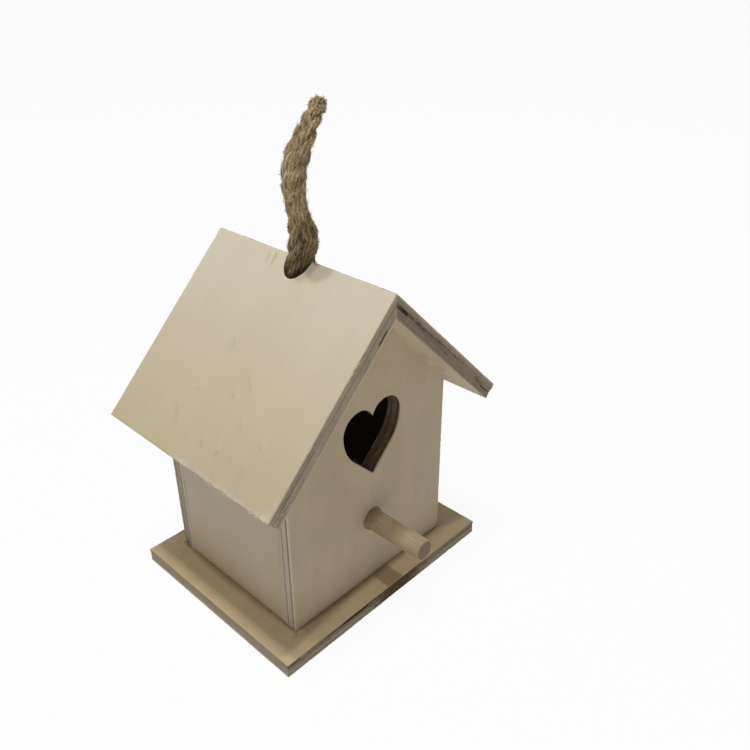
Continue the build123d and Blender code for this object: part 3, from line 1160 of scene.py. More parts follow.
WALL_SHEET = Sheet(
    plies=(1.05, 0.75, 2.1, 0.65, 1.8), tones=(0.02, 0.6, 0.12, 0.42, 0.14),
    recesses=(0.0, 0.14, 0.02, 0.1, 0.02), glue=0.4,
)
ROOF_SHEET = Sheet(
    plies=(1.3, 0.6, 0.9, 2.6, 1.1), tones=(0.3, 0.0, 0.56, 0.2, 0.0),
    recesses=(0.0, -0.05, 0.2, 0.05, -0.06), glue=0.4,
)
ROUGH_SHEET = replace(
    ROOF_SHEET, plies=(0.9, 1.6, 1.5, 1.5, 1.0), tones=(0.36, 0.45, 0.72, 0.62, 0.55),
    recesses=(0.0, -0.04, 0.24, 0.2, 0.0),
)
REAR_SHEET = replace(
    WALL_SHEET, tones=(0.55, 0.5, 0.45, 0.35, 0.05), recesses=(0.0, 0.05, 0.0, 0.04, 0.0), glue=0.12
)
BASE_SHEET = Sheet(plies=(1.1, 1.9, 1.8, 1.2), tones=(0.5, 0.66, 0.5, 0.35), recesses=(0.0, 0.18, 0.1, 0.0))


@dataclass
class House:
    """The wooden house: base plate, two gables, two walls and two mitred roof boards.

    Sizes are in millimetres. What the frame holds is read from it.
    """

    heart_width: float = 28.7
    heart_height: float = 29.4
    heart_cleft: float = 4.5
    heart_point_angle: float = 89.2
    heart_point: float = 49.1
    heart_offset: float = 0.8
    perch_height: float = 28.4
    perch_hole: float = 4.05
    rope_hole: float = 5.85
    brad_spacing: float = 52.0
    brad_head: tuple[float, float] = (1.27, 0.8)
    # How much the counterbores' floors are darkened.
    bore_floor_dark: float = 0.4
    glue_gap: float = 0.25
    # The glue band's width, depth, darkness and soil; its soil is painted contact shade round the walls'
    # feet.
    glue_and_shade_band: tuple[float, ...] = (6.5, 0.03, 0.16, 1.0)

    def build(self, grain: WoodGrain) -> None:
        """Build and dress every board.

        Args:
            grain: The shared grain group.
        """
        smooth = {"streaks": 0.02, "flecks": 0.05, "mottle": 0.1, "blotch": 0.016}
        calm = {"streaks": 0.02, "mottle": 0.18, "blotch": 0.04}
        base = SheetFinish("base_sheet", shade(208, 189, 152), shade(200, 179, 134), streaks=0.04)
        walls = SheetFinish("wall_sheet", shade(207, 193, 171), shade(217, 197, 160))
        sides = SheetFinish("side_sheet", shade(206, 195, 176), shade(206, 188, 156), **calm)
        roof = SheetFinish("roof_sheet", shade(224, 213, 190), shade(204, 189, 155), **smooth)
        # Painted light: the right roof board takes a paler copy of the roof finish, to light its underside
        # beneath the overhang.
        lit_roof = SheetFinish("painted_light_roof_sheet", shade(232, 221, 198), shade(217, 201, 165), **smooth)
        left, right = self.roof_boards()
        dressed = (
            (base, (self.base_board(),)), (walls, self.gables()), (sides, self.side_walls()), (roof, (left,)),
            (lit_roof, (right,)),
        )
        for finish, boards in dressed:
            material = finish.material(grain)
            for board in boards:
                board.build(material)

    def base_board(self) -> Board:
        """The base plate, split along its front edge and counterbored for its brads."""
        low, high, (wide, deep, _) = box_mm("base_plate")
        ends = [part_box(node) for node in ("front_panel", "back_panel")]
        rows = [((a.y + b.y) / 2 - low.y) / MM for a, b in ends]
        columns = [wide / 2 + half * self.brad_spacing / 2 for half in (-1, 1)]
        return Board(
            "base_board", "base_plate", Vector((low.x, low.y, high.z)), EAST, NORTH, DOWN, BASE_SHEET,
            [straight((0, 0), (wide, 0), (wide, deep), (0, deep))],
            dark_recesses=(
                DarkRecess(34.0, 0.0, 6.5, 0.3, 1.9, 2.0, 2.5), DarkRecess(27.0, 0.0, 7.0, 0.45, 1.3, 1.4, 1.8),
                DarkRecess(43.0, 0.0, 8.0, 0.45, 1.25, 1.2, 1.6), DarkRecess(16.0, 0.0, 7.0, 0.7, 1.2, 0.6, 1.0),
                DarkRecess(60.0, 0.0, 12.0, 0.6, 1.3, 0.5, 1.2), DarkRecess(3.0, 0.0, 3.5, 0.6, 1.4, 0.5, 1.0),
                # The two stretches at 57 and 58 mm are painted shadow: the perch's shadow carried down the
                # front edge. The two after them darken the edge in ragged stretches.
                DarkRecess(57.0, 0.0, 14.0, 0.2, 5.9, 0.06, 0.62),
                DarkRecess(58.0, 0.0, 22.0, 0.3, 5.6, 0.1, 0.6, True),
                DarkRecess(86.0, 0.0, 18.0, 0.6, 2.6, 0.08, 0.3, True),
                DarkRecess(20.0, 0.0, 20.0, 0.6, 1.8, 0.08, 0.35, True),
            ),
            bores=tuple(Bore(u, v, *self.brad_head, self.bore_floor_dark) for u in columns for v in rows),
            scores=self.footprint(low), lighting_tint=(0.5, 0.4), seed=11,
        )

    def footprint(self, low: Vector) -> tuple[Score, ...]:
        """The brown line of dried glue on the base plate, round the feet of the walls, in a wide band of
        painted contact shade.
        """
        (near, far), (_, rear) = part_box("front_panel"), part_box("back_panel")
        west, east = (near.x - low.x) / MM - self.glue_gap, (far.x - low.x) / MM + self.glue_gap
        south, north = (near.y - low.y) / MM - self.glue_gap, (rear.y - low.y) / MM + self.glue_gap
        corners = [(west, south), (east, south), (east, north), (west, north)]
        after = corners[1:] + corners[:1]
        return tuple(Score(a, b, *self.glue_and_shade_band) for a, b in zip(corners, after))

    def gable_runs(self, wide: float, tall: float) -> list[np.ndarray]:
        """The outline of a gable, with u upwards and v across."""
        eaves = tall - wide / 2 * math.tan(PITCH)
        return straight((0, wide), (0, 0), (eaves, 0), (tall, wide / 2), (eaves, wide))

    def heart_runs(self, middle: float) -> list[np.ndarray]:
        """The heart's outline: two round lobes, two curved flanks and a straight point.

        Args:
            middle: The heart's middle across the panel.

        Returns:
            Its runs, with the wood on the left.
        """
        half, slant = self.heart_width / 2, math.radians(self.heart_point_angle / 2)
        top = self.heart_point + self.heart_height
        lobe = half + self.heart_cleft - math.sqrt(self.heart_width * self.heart_cleft)
        centre = top - lobe
        rise = centre - self.heart_point
        flank = (rise * math.sin(slant) - half * math.cos(slant)) / (1 - math.cos(slant))
        cleft_angle = math.degrees(math.acos((half - lobe) / lobe)) if half - lobe < lobe else 0.0
        lobe_arc = arc((half - lobe, centre), (lobe, lobe), 180 - cleft_angle, 0, 30)
        flank_arc = arc((half - flank, centre), (flank, flank), 0, -(90 - math.degrees(slant)), 24)
        right = [lobe_arc, flank_arc, np.array([flank_arc[-1], (0.0, self.heart_point)])]
        left = [run[::-1] * (-1, 1) for run in reversed(right)]
        return [np.stack([run[:, 1], run[:, 0] + middle], 1) for run in right + left]

    def gables(self) -> tuple[Board, Board]:
        """The front panel, with the heart and the perch hole, and the plain back panel."""
        low, _, (wide, _, tall) = box_mm("front_panel")
        outline = self.wound(self.gable_runs(wide, tall), True)
        heart = self.wound(self.heart_runs(wide / 2 + self.heart_offset), False)
        hole = arc((self.perch_height, wide / 2), (self.perch_hole, self.perch_hole), 0, -360, 61)
        quarters = self.wound([hole[i : i + 16] for i in (0, 15, 30, 45)], False)
        front = Board(
            "front_board", "front_panel", low, UP, EAST, NORTH, WALL_SHEET, [outline, heart, quarters],
            # The heart's cut wall takes painted shade.
            shaded_loop=1, chips=4.0, lighting_tint=(0.25, 0.75), inner_shade=1.0, seed=21,
        )
        rear_low, rear_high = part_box("back_panel")
        back = Board(
            "back_board", "back_panel", Vector((rear_high.x, rear_high.y, rear_low.z)), UP, WEST, SOUTH,
            REAR_SHEET, [outline], dark_recesses=(DarkRecess(0.8, wide, 2.0, 0.8, 3.0, 0.3, 0.25),), chips=4.0,
            inner_shade=1.0, seed=22,
        )
        return front, back

    @staticmethod
    def wound(runs: list[np.ndarray], outer: bool) -> list[np.ndarray]:
        """A loop's runs in the order that keeps the wood on their left."""
        corners = np.concatenate([run[:-1] for run in runs])
        after = np.roll(corners, -1, axis=0)
        area = np.sum(corners[:, 0] * after[:, 1] - corners[:, 1] * after[:, 0])
        return runs if (area > 0) == outer else [run[::-1] for run in reversed(runs)]

    def side_walls(self) -> tuple[Board, Board]:
        """The two side walls, bevelled at the top to the roof's pitch."""
        rise = math.tan(PITCH)
        reach = 25.0

        def board(node: str, inward: Vector, seed: int) -> Board:
            """One wall, whose show face is the outer one."""
            low, high, (thick, deep, full) = box_mm(node)
            tall = full - thick * rise
            outer = low.x if inward.x > 0 else high.x
            return Board(
                node.replace("wall", "side_board"), node, Vector((outer, low.y, low.z)), UP, NORTH, inward,
                WALL_SHEET, [straight((0, 0), (tall, 0), (tall, deep), (0, deep))],
                lean=lambda u: rise * np.clip((u - tall + reach) / reach, 0, 1), chips=4.0, lighting_tint=(0.9, 0.0),
                inner_shade=1.0, seed=seed,
            )

        return board("left_wall", EAST, 31), board("right_wall", WEST, 32)

    def roof_boards(self) -> tuple[Board, Board]:
        """The two roof boards, mitred at the ridge, each with half of the rope hole."""
        slant, rise = math.cos(PITCH), math.tan(PITCH)
        notch = self.rope_hole / slant
        full, fade = notch + 0.8, 20.0

        def board(node: str, side: float, sheet: Sheet, seed: int, **marks: tuple) -> Board:
            """One roof board, with u from the ridge down to the eave."""
            low, high, (wide, deep, _) = box_mm(node)
            slope = wide / slant
            bite = arc((0, deep / 2), (notch, self.rope_hole), 90, -90, 33)
            runs = straight((0, 0), (slope, 0), (slope, deep), (0, deep))[:3]
            runs += [np.array([(0, deep), bite[0]]), bite, np.array([bite[-1], (0, 0)])]
            down = Vector((side * slant, 0, -math.sin(PITCH)))
            inward = Vector((-side * math.sin(PITCH), 0, -slant))
            return Board(
                node.replace("panel", "board"), node, Vector((0, low.y, high.z)), down, NORTH, inward, sheet,
                [runs], lean=lambda u: rise * np.clip((full + fade - u) / fade, 0, 1), chips=11.0,
                lighting_tint=(0.0, 1.0), lighting_tint_across=(0.02, -0.08), seed=seed, **marks,
            )

        tears = (
            (69.0, 20.4, 3.2), (68.6, 26.5, 2.2), (69.3, 33.3, 1.8), (69.0, 41.9, 2.6), (70.0, 50.0, 2.0),
            (66.8, 57.9, 3.0), (63.0, 61.0, 2.6), (50.0, 40.0, 2.8), (43.0, 37.0, 2.4), (58.0, 30.0, 1.8),
            (35.0, 52.0, 2.0), (54.0, 56.0, 2.2), (47.0, 33.5, 3.0), (60.5, 18.0, 2.6),
        )
        lean, crest = 0.35, {"width": 1.2, "depth": -0.4, "dark": 0.0, "soil_and_shade": 0.04}
        raised = tuple(Score((u, v), (u + long, v - lean * long), **crest) for u, v, long in tears)
        left = board(
            "left_roof_panel", -1.0, ROOF_SHEET, 41,
            dark_recesses=(
                DarkRecess(27.0, 0.0, 2.2, 0.0, 0.8, 0.5, 0.2), DarkRecess(44.0, 0.0, 1.6, 0.0, 0.8, 0.45, 0.2),
                DarkRecess(8.5, 0.0, 4.0, 4.5, 5.5, 0.7, 0.6), DarkRecess(34.0, 0.0, 15.0, 2.35, 2.7, 0.3, 0.4),
                DarkRecess(66.0, 0.0, 12.0, 2.3, 2.7, 0.4, 0.35), DarkRecess(74.0, 0.0, 6.0, 1.0, 1.4, 0.4, 0.25),
                DarkRecess(75.0, 0.0, 5.0, 3.8, 4.2, 0.4, 0.35), DarkRecess(60.0, 0.0, 16.0, 1.1, 1.4, 0.25, 0.25),
                DarkRecess(80.5, 14.0, 1.6, 0.0, 0.7, 0.45, 0.2), DarkRecess(80.5, 22.5, 2.4, 0.0, 0.8, 0.5, 0.25),
                DarkRecess(80.5, 28.5, 1.2, 0.0, 0.7, 0.55, 0.5), DarkRecess(80.5, 36.0, 2.0, 0.0, 0.7, 0.4, 0.2),
            ),
            scores=(
                Score((0.4, 56.3), (6.4, 55.4), 0.3, 0.5, 0.9),
                Score((2.6, 59.0), (5.2, 58.6), 0.2, 0.3, 0.7),
                *raised,
            ),
            # The eave's arris is painted pale in stretches: partly frayed wood, partly a painted highlight
            # along it.
            pale_arrises=(
                PaleArris(80.5, 4.0, 12.0), PaleArris(80.5, 17.0, 10.0), PaleArris(80.5, 30.0, 12.0), PaleArris(80.5, 46.0, 10.0),
            ),
        )
        right = board(
            "right_roof_panel", 1.0, ROUGH_SHEET, 42,
            dark_recesses=(
                DarkRecess(17.0, 0.0, 20.0, 1.5, 3.1, 0.7, 0.65, True),
                DarkRecess(3.8, 0.0, 3.8, 2.2, 3.4, 1.2, 1.0, True),
                DarkRecess(34.0, 0.0, 26.0, 3.3, 4.0, 0.2, 0.4, True),
                DarkRecess(41.0, 0.0, 12.0, 1.8, 2.5, 0.3, 0.6, True),
                DarkRecess(69.0, 0.0, 3.8, 2.6, 3.6, 0.7, 0.85, True),
                DarkRecess(75.5, 0.0, 5.0, 3.5, 4.3, 0.9, 1.1, True),
                DarkRecess(56.0, 0.0, 16.0, 1.8, 2.4, 0.3, 0.6, True),
            ),
        )
        return left, right


@dataclass
class Perch:
    """The turned dowel under the heart, with a chamfered tip and a rough ring where it enters the panel."""

    sides: int = 84
    chamfer: float = 0.35
    seed: int = 51
    burr_wear: float = 0.3
    burr: tuple[tuple[float, float], ...] = (
        (0.0, -0.15), (0.0, 0.55), (0.4, 0.5), (1.0, 0.34), (1.35, 0.26), (1.6, 0.1), (1.75, -0.15),
    )

    FOOT_SHARES = (0.0, 0.3, 0.6, 0.85, 0.97)
    BEVEL_SHARES = (0.3, 0.7, 1.0)
    TIP_SHARES = (0.88, 0.75, 0.6, 0.45, 0.3, 0.15, 0.0)
    TIP_WEAR = 0.65
    LENGTHS, FOOT_EASE, FULL = 60, 0.3, 0.9
    FLUTES, RAGGED, LIP = Wave(1.0, 0.16), Wave(0.6, 0.22, 1.0), Wave(0.1, 0.3)
    FLUTE_DEPTH, SWIRL_DEPTH, SWIRL_STEP, SWIRL_SWAY = 0.022, 0.02, 0.35, 3
    TIP_DEPTH, TIP_WAVES = 0.03, (9, 40)
    BURR_SINK, BURR_SWAY, LIP_SWAY = 0.2, (0.3, 2, 0.7), (0.16, 3, 1)

    def __post_init__(self) -> None:
        """Read the dowel's place from its node's box."""
        self.low, self.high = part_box("perch_dowel")
        self.radius = (self.high.x - self.low.x) / 2
        self.middle = (self.low + self.high) / 2
        self.turns = np.linspace(0, FULL_TURN, self.sides, endpoint=False)
        self.rng = np.random.default_rng(self.seed)

    def ring(self, edge: np.ndarray, forward: np.ndarray) -> np.ndarray:
        """A ring of points round the dowel's axis."""
        across, up = self.middle.x + edge * np.cos(self.turns), self.middle.z + edge * np.sin(self.turns)
        return np.stack([across, forward, up], 1)

    def swayed(self, amount: float, times: float, shift: float) -> np.ndarray:
        """A wave that goes up and down the given number of times on its way round the dowel."""
        return amount * np.sin(times * self.turns + shift)

    def build(self, finish: bpy.types.Material) -> None:
        """Build the dowel's mesh and its burr, and dress them.

        Args:
            finish: The material.
        """
        foot, tip, bevel = self.high.y, self.low.y, self.chamfer * MM
        neck = foot - self.FOOT_EASE * MM
        stations = [(foot, share, 0.0) for share in self.FOOT_SHARES]
        stations += [(float(y), 1.0, 0.0) for y in np.linspace(neck, tip + bevel, self.LENGTHS)]
        stations += [(tip + bevel * (1 - s), 1 - s * bevel / self.radius, 0.0) for s in self.BEVEL_SHARES]
        stations += [(tip, share, self.TIP_WEAR) for share in self.TIP_SHARES]
        flutes = self.FLUTES.along(self.turns, self.rng)
        flutes[-3:] = flutes[0]
        rows = []
        for number, (y, share, worn) in enumerate(stations):
            swirl = np.sin(number * self.SWIRL_STEP + self.SWIRL_SWAY * np.sin(self.turns))
            ripple = self.FLUTE_DEPTH * flutes + self.SWIRL_DEPTH * swirl
            edge = self.radius * share + ripple * MM * (share > self.FULL)
            grooves = np.sin(self.TIP_WAVES[0] * self.turns + self.TIP_WAVES[1] * share)
            rough = self.TIP_DEPTH * MM * grooves * (worn > 0) * share
            rows.append(self.ring(edge, np.full(self.sides, y) + rough))
        piece = mesh_object("perch", np.concatenate(rows), lattice(len(rows), self.sides))
        store(piece, "dowel_wear", np.repeat([worn for _, _, worn in stations], self.sides))
        stand(piece, finish, "perch_dowel", weld=True)
        self.collar(finish)

    def collar(self, finish: bpy.types.Material) -> None:
        """The ragged burr that the dowel pushed up against the panel.

        Args:
            finish: The material.
        """
        wall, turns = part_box("front_panel")[0].y, self.turns
        rows = []
        for reach, rise in self.burr:
            ragged = self.RAGGED.along(turns, self.rng) + self.swayed(*self.BURR_SWAY)
            ragged[-2:] = ragged[0]
            edge = self.radius + rise * MM * np.where(rise > 0, ragged, 1)
            lip = 1 + self.swayed(*self.LIP_SWAY) + self.LIP.along(turns, self.rng)
            rows.append(self.ring(edge, wall + self.BURR_SINK * MM - reach * MM * lip))
        piece = mesh_object("perch_burr", np.concatenate(rows), lattice(len(rows), self.sides, closed=True))
        store(piece, "dowel_wear", np.full(len(piece.data.vertices), self.burr_wear))
        stand(piece, finish)


def rope_tree() -> bpy.types.NodeTree:
    """The tree that lays twisted strands round a line.

    Returns:
        The geometry node tree, with its sizes as named inputs.
    """
    sizes = (
        "Strand radius", "Strand offset", "Lay", "Yarns", "Yarn depth", "Yarn lay", "Step", "Shade foot",
        "Shade top", "Crown foot", "Crown top", "Crown tightness",
    )
    inputs = {"Line": "Geometry", "Strands": "Int"} | dict.fromkeys(sizes, "Float") | {"Finish": "Material"}
    waver_scale, waver_turn, swell_least, swell_more = 190.0, 0.8, 0.88, 0.24
    blot_scale, blot_reach, crown_shade = 120.0, 40 * MM, 2.4
    strand_sides, strand_shift = 40, 0.37
    graph, given, wanted = new_group("Laid rope", "GeometryNodeTree", inputs, {"Rope": "Geometry"})
    line = graph.out("GeometryNodeMeshToCurve", {0: given["Line"]})
    even = graph.out("GeometryNodeResampleCurve", {"Curve": line, "Length": given["Step"]}, mode="LENGTH")
    axis = graph.out("GeometryNodeInputTangent")
    copied = {0: even, "Amount": given["Strands"]}
    copies = graph.add("GeometryNodeDuplicateElements", copied, domain="SPLINE")
    length = graph.add("GeometryNodeSplineParameter").outputs["Length"]
    share = graph.math("DIVIDE", copies.outputs[1], given["Strands"])
    spun = graph.plus(graph.math("DIVIDE", length, given["Lay"]), share)
    place = graph.out("GeometryNodeInputPosition")
    waver = graph.out("ShaderNodeTexNoise", {"Vector": place, "Scale": waver_scale, "Detail": 2.0})
    angle = graph.plus(graph.times(spun, FULL_TURN), graph.times(waver, waver_turn))
    normal = graph.out("GeometryNodeInputNormal")
    side = graph.vector("CROSS_PRODUCT", axis, normal)
    ahead, aside = graph.math("COSINE", angle), graph.math("SINE", angle)
    out = graph.vector("ADD", graph.scaled(normal, ahead), graph.scaled(side, aside))
    _, _, height = graph.parts(place)
    crown = (given["Crown foot"], given["Crown top"], 1.0, given["Crown tightness"])
    drawn = graph.span(height, *crown, smooth=False)
    swell = graph.times(graph.plus(graph.times(waver, swell_more), swell_least), drawn)
    offset = graph.scaled(out, graph.times(given["Strand offset"], swell))
    kept = graph.keep(copies.outputs[0], "rope_out", out, "FLOAT_VECTOR")
    # Painted shade: the strands darken towards the rope's foot at the ridge hole and grey at the top of the
    # loop.
    blots = graph.out("ShaderNodeTexNoise", {"Vector": place, "Scale": blot_scale, "Detail": 2.0})
    moved = graph.plus(height, graph.times(graph.math("SUBTRACT", blots, 0.5), blot_reach))
    foot_shade = graph.span(moved, given["Shade foot"], given["Shade top"], 1.0, 0.0, smooth=False)
    crown_shaded = graph.times(graph.math("SUBTRACT", 1.0, drawn), crown_shade)
    kept = graph.keep(kept, "strand_shade", graph.plus(foot_shade, crown_shaded, clamp=True))
    laid = graph.out("GeometryNodeSetPosition", {0: kept, "Offset": offset})
    laid = graph.keep(laid, "rope_axis", graph.out("GeometryNodeInputTangent"), "FLOAT_VECTOR")
    tilt = graph.times(graph.math("DIVIDE", length, given["Yarn lay"]), -FULL_TURN)
    tilted = graph.out("GeometryNodeSetCurveTilt", {0: laid, "Tilt": tilt})
    fat = graph.out("GeometryNodeSetCurveRadius", {0: tilted, "Radius": swell})
    run = graph.keep(fat, "strand_run", length)
    run = graph.keep(run, "strand_number", graph.times(share, strand_shift))
    fine = {"Resolution": strand_sides, "Radius": given["Strand radius"]}
    circle = graph.out("GeometryNodeCurvePrimitiveCircle", fine)
    spot = graph.out("GeometryNodeInputPosition")
    x, y, _ = graph.parts(spot)
    lobes = graph.math("COSINE", graph.times(graph.math("ARCTAN2", y, x), given["Yarns"]))
    dip = graph.times(graph.math("SUBTRACT", lobes, 1.0), graph.times(given["Yarn depth"], 0.5))
    valley = graph.times(graph.math("SUBTRACT", 1.0, lobes), 0.5)
    profile = graph.keep(circle, "strand_valley", valley)
    dipped = graph.scaled(spot, graph.plus(dip, 1.0))
    profile = graph.out("GeometryNodeSetPosition", {0: profile, "Position": dipped})
    profile = graph.keep(profile, "strand_spot", graph.out("GeometryNodeInputPosition"), "FLOAT_VECTOR")
    tube = graph.tube(run, profile)
    spread = graph.out("ShaderNodeCombineXYZ", {0: graph.read("strand_number"), 2: graph.read("strand_run")})
    strand = graph.vector("ADD", graph.read("strand_spot", "FLOAT_VECTOR"), spread)
    tube = graph.keep(tube, "strand_place", strand, "FLOAT_VECTOR")
    smooth = graph.out("GeometryNodeSetShadeSmooth", {0: tube})
    graph.tree.links.new(graph.dressed(smooth, given["Finish"]), wanted["Rope"])
    return graph.tree


def fibre_tree() -> bpy.types.NodeTree:
    """The tree that grows loose fibres on a surface, along its rope_axis attribute.

    Returns:
        The geometry node tree, with its sizes as named inputs.
    """
    sizes = ("Density", "Shortest", "Longest", "Thickness", "Lift", "Spread")
    inputs = {"Surface": "Geometry"} | dict.fromkeys(sizes, "Float") | {"Seed": "Int", "Finish": "Material"}
    least_facing, tapered, hair_sides = 0.15, 0.75, 3
    bow = {"Start": (-0.05, 0, -0.5), "Middle": (0.2, 0, 0.05), "End": (-0.06, 0, 0.5)}
    graph, given, wanted = new_group("Loose fibres", "GeometryNodeTree", inputs, {"Fibres": "Geometry"})
    normal = graph.out("GeometryNodeInputNormal")
    facing = {0: graph.read("rope_out", "FLOAT_VECTOR"), 1: normal}
    facing = graph.add("ShaderNodeVectorMath", facing, operation="DOT_PRODUCT").outputs["Value"]
    shown = graph.math("GREATER_THAN", facing, least_facing)
    spots = graph.add(
        "GeometryNodeDistributePointsOnFaces",
        {0: given["Surface"], "Selection": shown, "Density": given["Density"], "Seed": given["Seed"]},
    )
    hair = graph.out("GeometryNodeCurveQuadraticBezier", {"Resolution": 3} | bow)
    factor = graph.add("GeometryNodeSplineParameter").outputs["Factor"]
    taper = graph.math("SUBTRACT", 1.0, graph.times(factor, tapered))
    hair = graph.out("GeometryNodeSetCurveRadius", {0: hair, "Radius": taper})
    thin = {"Resolution": hair_sides, "Radius": given["Thickness"]}
    ring = graph.out("GeometryNodeCurvePrimitiveCircle", thin)
    tube = graph.tube(hair, ring)
    flip = graph.math("SIGN", graph.random(-1.0, 1.0, seed=3))
    onward = graph.scaled(graph.read("rope_axis", "FLOAT_VECTOR"), flip)
    cube = {0: (-1, -1, -1), 1: (1, 1, 1), "Seed": 5}
    stray = graph.out("FunctionNodeRandomValue", cube, data_type="FLOAT_VECTOR")
    lifted = graph.scaled(spots.outputs["Normal"], graph.random(0.0, given["Lift"], seed=7))
    way = graph.vector("ADD", onward, lifted)
    way = graph.vector("ADD", way, graph.scaled(stray, given["Spread"]))
    turn = graph.out("FunctionNodeAlignRotationToVector", {"Vector": way}, axis="Z")
    rolled = {"Rotation": turn, "Vector": stray}
    turn = graph.out("FunctionNodeAlignRotationToVector", rolled, axis="X", pivot_axis="Z")
    long = graph.random(given["Shortest"], given["Longest"], seed=9)
    size = graph.out("ShaderNodeCombineXYZ", {0: long, 1: long, 2: long})
    planted = {"Points": spots.outputs[0], "Instance": tube, "Rotation": turn, "Scale": size}
    grown = graph.out("GeometryNodeInstanceOnPoints", planted)
    tinted = graph.keep(grown, "fibre_tint", graph.random(0.0, 1.0, seed=11), domain="INSTANCE")
    graph.tree.links.new(graph.dressed(tinted, given["Finish"]), wanted["Fibres"])
    return graph.tree


def grow(name: str, source: bpy.types.Mesh, tree: bpy.types.NodeTree, sizes: dict) -> bpy.types.Object:
    """Run a geometry node tree on a mesh and keep its result as a plain mesh.

    Args:
        name: The new piece's name.
        source: The mesh that the tree starts from.
        tree: The tree.
        sizes: Its inputs by name.

    Returns:
        The new piece, with no modifier.
    """
    seed = bpy.data.objects.new(name + "_line", source)
    bpy.context.scene.collection.objects.link(seed)
    modifier = seed.modifiers.new("grow", "NODES")
    modifier.node_group = tree
    sockets = {s.name: s.identifier for s in tree.interface.items_tree if s.in_out == "INPUT"}
    for label, value in sizes.items():
        modifier[sockets[label]] = value
    seed.update_tag()
    graph = bpy.context.evaluated_depsgraph_get()
    grown = seed.evaluated_get(graph)
    mesh = bpy.data.meshes.new_from_object(grown, preserve_all_data_layers=True, depsgraph=graph)
    seed.modifiers.remove(modifier)
    bpy.data.objects.remove(seed)
    mesh.name = name
    made = bpy.data.objects.new(name, mesh)
    bpy.context.scene.collection.objects.link(made)
    LOG.info("%s: %d faces", name, len(mesh.polygons))
    return made


